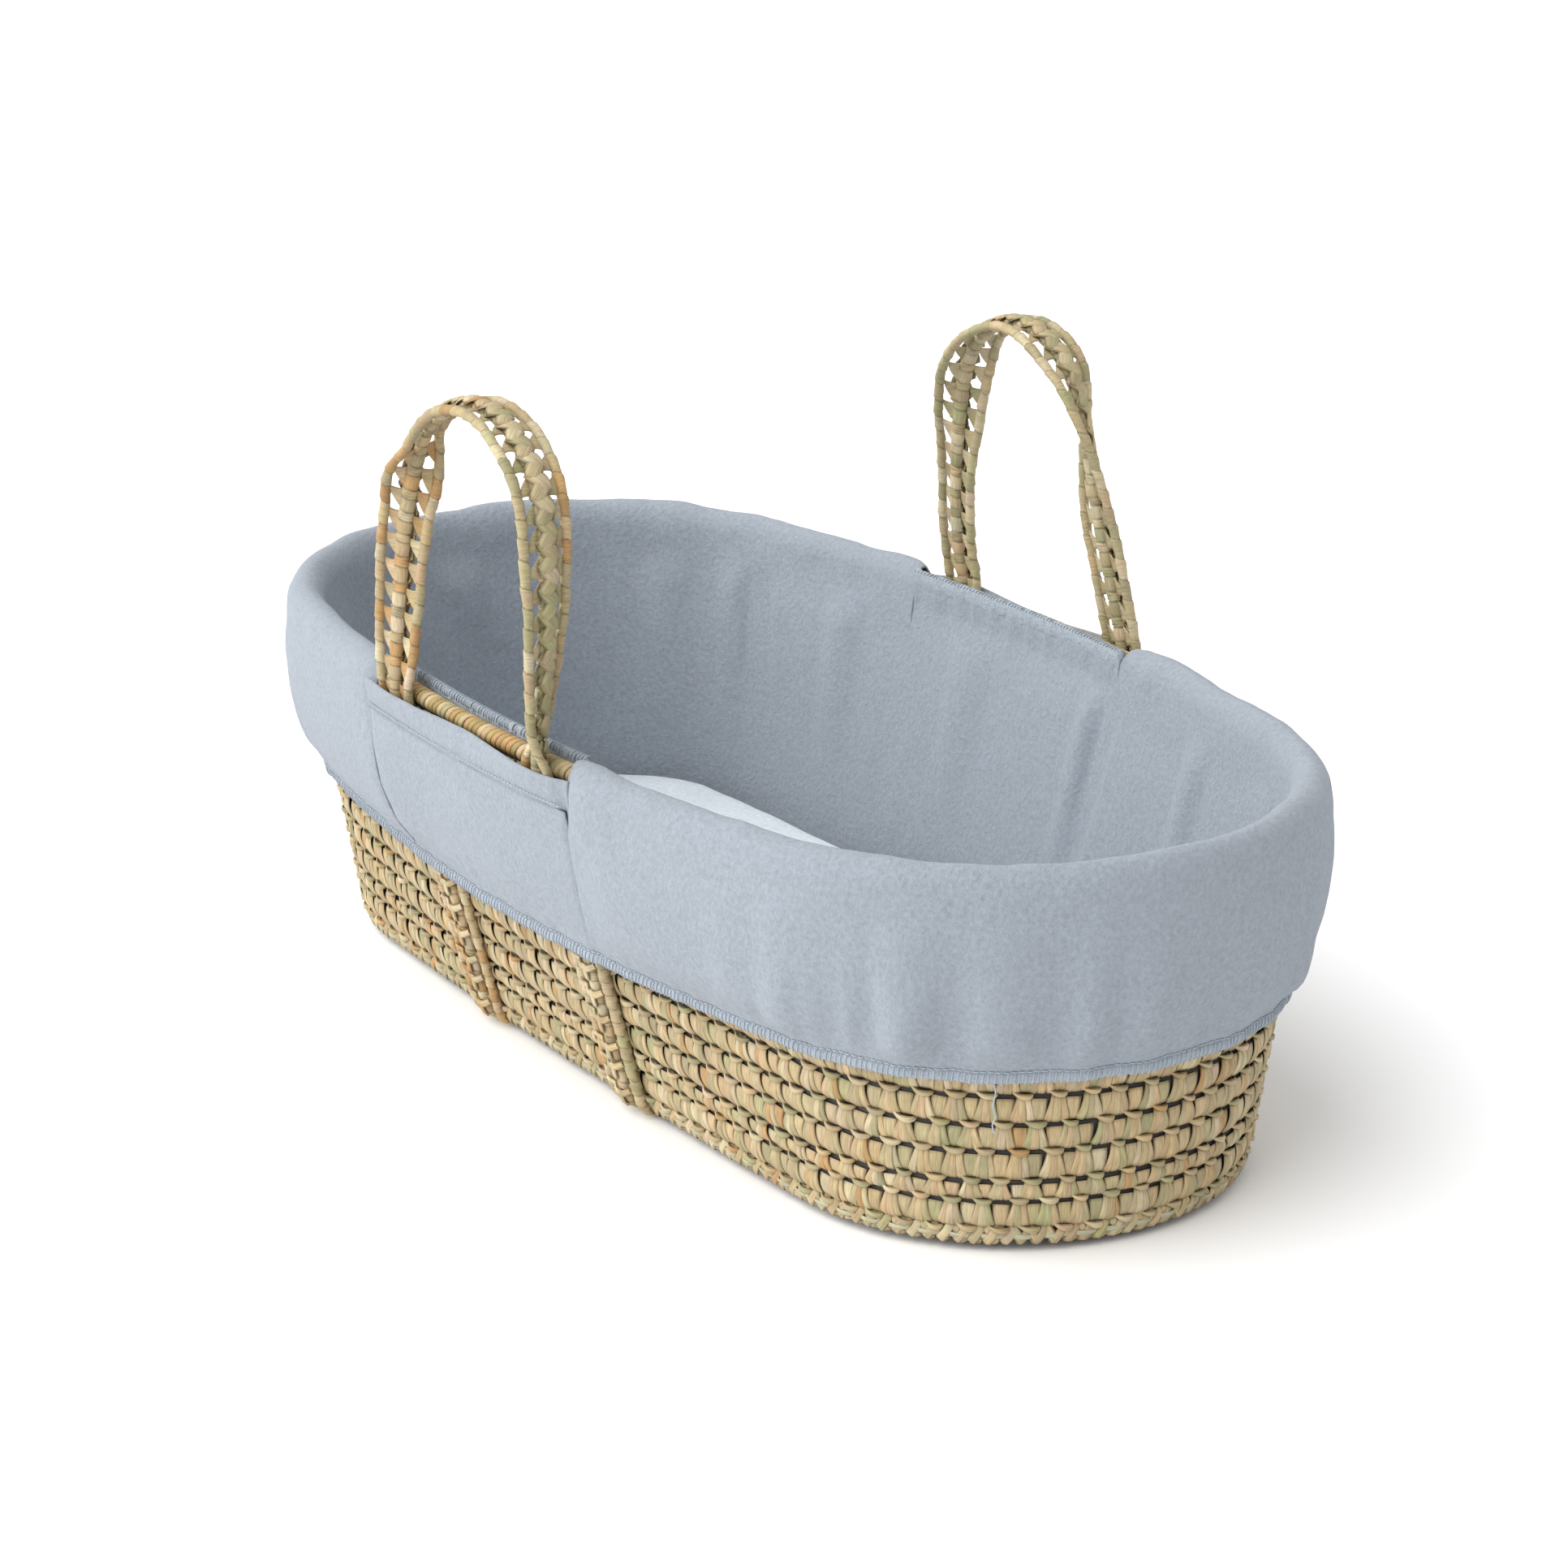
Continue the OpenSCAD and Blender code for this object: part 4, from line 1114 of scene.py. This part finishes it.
def slot_elastic(name, u0, u1):
    """Gathered elastic edge of the inside wall, in the slot."""
    rng = np.random.default_rng(641)
    u = np.linspace(u0 + 0.0003, u1 - 0.0003, 260)
    s = u * CREST_GIRTH
    pucker = 0.9 * noise(s / 4.6, 642) + 0.5 * noise(s / 2.6, 643)
    stock = Stock()
    tube(stock, ribbon_round(u, 0.6 * pucker - 8.0, ELASTIC_TOP - 1.6 + 0.5 * pucker, 2.0 + 0.3 * pucker,
                             5.4 + 0.4 * pucker, 14))
    obj = stock.make(f"gathered_{name}_slot_elastic", EDGE, "sewing", "basket", f"{name}_slot_elastic")
    count = int((u1 - u0) * CREST_GIRTH / 3.2)
    places = u0 + (np.arange(count) + 0.5) / count * (u1 - u0)
    plan, facing = on_oval(np.broadcast_to(COIL_OVAL - 8.0, (count, 3)), places)
    overlock(f"{name}_slot_overlock", raised(plan, ELASTIC_TOP + 1.4), facing, 2.3, 2.8, rng)


def overlock(name, centres, facing, half_w, half_h, rng):
    """Slanted loops of thread over an edge, one at each centre."""
    stock = Stock()
    t = np.linspace(0, 1, 7)
    turn = -math.pi * 0.55 + 1.35 * math.pi * t
    out = raised(facing, 0)[:, None]
    along = np.cross([0, 0, 1], out)
    normal = out * np.cos(turn)[:, None] + [0, 0, 1] * np.sin(turn)[:, None]
    path = centres[:, None] + normal * [half_w, half_w, half_h] + along * (2.2 * (t - 0.5))[:, None]
    leaves(stock, path, normal, 0.9, 0.2, WHITE, rng)
    stock.make(name, THREAD, "sewing", "basket")


def hem():
    """Elastic hem all round, sewn to the panels' lower edges: a gathered overlocked edge."""
    rng = np.random.default_rng(660)
    count = 900
    ring = np.concatenate([row[:-1] for _, row in sorted(HEM_ROWS, key=lambda item: item[0])])
    ring = np.vstack([ring, ring[:1]])
    s = distance(ring)

    def around(part):
        at = np.mod(part, 1) * s[-1]
        line, ahead, behind = (sample(ring, s, np.mod(at + step, s[-1])) for step in (0, 3, -3))
        run = unit((ahead - behind)[:, :2])
        line[:, 2] = (HEM_Z + HEM_TOP) / 2 + 0.4 + 0.5 * noise(np.mod(part, 1) * 83, 663, 83)
        return line, np.stack([run[:, 1], -run[:, 0]], -1)

    centres, facing = around(np.arange(count) / count)
    turn = turns(12)[:, None]
    out = raised(facing, 0)[:, None]
    stock = Stock()
    tube(stock, centres[:, None] + out * (0.2 + 1.5 * np.cos(turn)) + [0, 0, 3.2] * np.sin(turn), True)
    obj = stock.make("gathered_hem_elastic", EDGE, "sewing", "basket", "hem_elastic")
    overlock("hem_overlock", *around(spaced(rng, 620, 0.08)), 1.9, 3.4, rng)
    loose_thread()


def loose_thread():
    """A thread end that hangs from the hem at the right-hand end."""
    plan, out = on_oval(HEM_OVAL + 0.6, np.array(0.198))
    drops = [(0, 0, 0), (0.6, 0.8, -5), (1.4, -0.6, -11), (2.0, 0.9, -17), (1.7, -0.7, -22), (2.2, 0.4, -27)]
    middle = through([(plan[0] + out[0] * a - out[1] * b, plan[1] + out[1] * a + out[0] * b, HEM_Z + c)
                      for a, b, c in drops], 40)
    turn = turns(8)[:, None]
    run = unit(np.gradient(middle, axis=0))
    side = unit(np.cross(run, raised(out, 0)))
    over = np.cross(side, run)
    stock = Stock()
    tube(stock, middle[:, None] + 0.4 * (side[:, None] * np.cos(turn) + over[:, None] * np.sin(turn)))
    stock.make("loose_thread", THREAD, "sewing", "basket")


def liner_floor():
    """The liner's floor under the mattress, with a few soft wrinkles."""
    high = box("liner_floor")[1]
    part = np.linspace(0.02, 1, 60)
    u = column(260) + 0 * part
    oval = weave(high[2]) - WALL_T - 1.2
    plan = on_oval(np.broadcast_to(oval, (*u.shape, 3)) * part[:, None], u)[0]
    wrinkle = 0.5 * noise2(plan[..., 0] / 31 + 40, plan[..., 1] / 23 + 20, 671) - 0.3
    top = raised(plan, high[2] - 0.1 + wrinkle)
    under = top - [0, 0, 1.3]
    ring = np.concatenate([top, under[:, ::-1]], 1)
    stock = Stock()
    stock.add(ring, lattice(*ring.shape[:2], True, True)[:, ::-1])
    obj = stock.make("fleece_liner_floor", FLEECE, "fleece", "basket", "liner_floor")


def liner_end(side, u0, u1, seed, *nodes):
    """An end of the liner: inside wall, padded roll and skirt in one panel."""
    cloth(f"fleece_end_{side}", inner_line() + roll_line(), u0, u1, push_end(seed),
          (f"liner_roll_{side}", f"skirt_{side}", *nodes), held="stretched", rests_on=["rim_coil"])


liner_end("right", FRONT_SLOT[1], BACK_SLOT[1], 601, "liner_wall")
liner_end("left", BACK_SLOT[0], FRONT_SLOT[0], 701)
slot_sides("front", FRONT_SLOT[0] - 1, FRONT_SLOT[1])
slot_sides("back", BACK_SLOT[1], BACK_SLOT[0])
hem()
liner_floor()


# ---- the mattress ----

MATTRESS_LOW, MATTRESS_HIGH = box("mattress_cover_base")[0], box("mattress_cover_top")[1]
MATTRESS_OVAL = np.array([MATTRESS_HIGH[0], MATTRESS_HIGH[1], 124.6])


def mattress_start():
    """A slightly small pad with rounded edges, for the cloth simulation to fill."""
    z0, z1 = MATTRESS_LOW[2] + 2, MATTRESS_HIGH[2] - 2
    middle, half = (z0 + z1) / 2, (z1 - z0) / 2
    corner = 9.0
    turn = np.linspace(math.pi / 2, -math.pi / 2, 9)
    lid = [(k, 2.5 + corner, half) for k in (0.001, 0.25, 0.5, 0.75, 0.9)]
    side = [(1, 2.5 + corner * (1 - math.cos(t)),
             (half - corner) * np.sign(round(math.sin(t), 6)) + corner * math.sin(t)) for t in turn]
    section = np.array(lid + side + [(k, inset, -h) for k, inset, h in reversed(lid)])
    u = column(240) + 0 * section[:, 0]
    shape = (MATTRESS_OVAL - section[:, 1:2]) * section[:, :1]
    ring = raised(on_oval(np.broadcast_to(shape, (*u.shape, 3)), u)[0], middle + section[:, 2])
    stock = Stock()
    stock.add(ring, lattice(*ring.shape[:2], True, False))
    return stock


def modified(obj, kind, **settings):
    modifier = obj.modifiers.new(kind.lower(), kind)
    for key, value in settings.items():
        setattr(modifier, key, value)
    return modifier


def apply(obj):
    """Makes what obj's modifiers show its mesh, and removes them."""
    graph = bpy.context.evaluated_depsgraph_get()
    mesh = bpy.data.meshes.new_from_object(obj.evaluated_get(graph))
    obj.modifiers.clear()
    obj.data = mesh


def coords(obj):
    flat = np.empty(len(obj.data.vertices) * 3)
    obj.data.vertices.foreach_get("co", flat)
    return flat.reshape(-1, 3)


def set_coords(obj, points):
    obj.data.vertices.foreach_set("co", points.ravel())
    obj.data.update()


def inflate(obj, cap):
    """Fills a pad by a cloth simulation under pressure. No point moves further than cap metres."""
    start = coords(obj)
    settings = modified(obj, "CLOTH").settings
    settings.use_pressure = True
    settings.uniform_pressure_force = 4.0
    settings.effector_weights.gravity = 0
    scene = bpy.context.scene
    for step in range(1, 21):
        scene.frame_set(step)
    apply(obj)
    scene.frame_set(1)
    moved = coords(obj) - start
    far = np.linalg.norm(moved, axis=1, keepdims=True)
    set_coords(obj, start + moved * np.minimum(1, cap / np.maximum(far, 1e-9)))


def mattress():
    pad = mattress_start().make("mattress_pad", COVER, "cover", None)
    modified(pad, "REMESH", mode="VOXEL", voxel_size=0.006, use_smooth_shade=True)
    apply(pad)
    inflate(pad, 0.0035)
    modified(pad, "SUBSURF", levels=1, render_levels=1)
    apply(pad)
    points = coords(pad) / MM
    points[:, :2] *= (MATTRESS_OVAL[:2] - 1.5) / np.abs(points[:, :2]).max(0)
    middle = (MATTRESS_LOW[2] + MATTRESS_HIGH[2]) / 2
    up = np.clip((points[:, 2] - middle) / 14, -1, 1)
    wave = 1.1 * noise2(points[:, 0] / 70 + 300, points[:, 1] / 60 + 20, 802)
    wave += 0.5 * noise2(points[:, 0] / 27 + 300, points[:, 1] / 25 + 20, 803)
    points[:, 2] += (wave + 4.2) * np.maximum(up, 0)
    seam = hump(points[:, 2], middle + 2, 3.0)
    points[:, :2] -= unit(points[:, :2] / [1.0, 0.45]) * (1.6 * seam)[:, None]
    points[:, 2] = np.clip(points[:, 2], MATTRESS_LOW[2] + 0.2, None)
    set_coords(pad, points * MM)
    pad.data.shade_smooth()
    pad.data.materials.clear()
    pad.data.materials.append(COVER)
    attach(pad, "mattress")
    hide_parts("mattress_cover_top", "mattress_cover_base", "mattress_foam")


mattress()


# ---- camera, light and floor ----

AZIMUTH, ELEVATION, ROLL = math.radians(57.9), math.radians(18.5), math.radians(-0.5)
EYE = (2.1097, -1.3154, 0.9840)


def camera():
    back = Vector((math.sin(AZIMUTH) * math.cos(ELEVATION), -math.cos(AZIMUTH) * math.cos(ELEVATION),
                   math.sin(ELEVATION)))
    right = Vector((0, 0, 1)).cross(back).normalized()
    up = back.cross(right)
    across = math.cos(ROLL) * right + math.sin(ROLL) * up
    over = math.cos(ROLL) * up - math.sin(ROLL) * right
    data = bpy.data.cameras.new("camera")
    data.lens, data.sensor_width = 100, 36
    obj = linked("camera", data)
    obj.matrix_world = Matrix.Translation(EYE) @ Matrix((across, over, back)).transposed().to_4x4()
    bpy.context.scene.camera = obj


def soft_sun(name, place, spread, strength):
    """A broad even light that comes from place, so that the floor is lit the same all over."""
    data = bpy.data.lights.new(name, "SUN")
    data.angle, data.energy = math.radians(spread), strength
    linked(name, data).rotation_euler = (-Vector(place)).to_track_quat("-Z", "Y").to_euler()


def surroundings():
    n = Nodes("floor")
    place = n.node("ShaderNodeTexCoord").outputs["Object"]
    n.set(Base_Color=n.mix(n.noise(place, 3.0), (0.94, 0.94, 0.94), (0.97, 0.97, 0.97)), Roughness=0.9)
    mesh = bpy.data.meshes.new("floor")
    mesh.from_pydata([(-9, -9, 0), (9, -9, 0), (9, 9, 0), (-9, 9, 0)], [], [(0, 1, 2, 3)])
    mesh.materials.append(n.material)
    linked("floor", mesh)
    world = bpy.data.worlds.new("studio")
    bpy.context.scene.world = world
    world.use_nodes = True
    colour, strength = world.node_tree.nodes["Background"].inputs[:2]
    colour.default_value = (1, 1, 1, 1)
    strength.default_value = 0.78
    soft_sun("window", (-0.20, -0.70, 0.66), 90, 3.5)
    bpy.context.scene.view_settings.view_transform = "Standard"


camera()
surroundings()
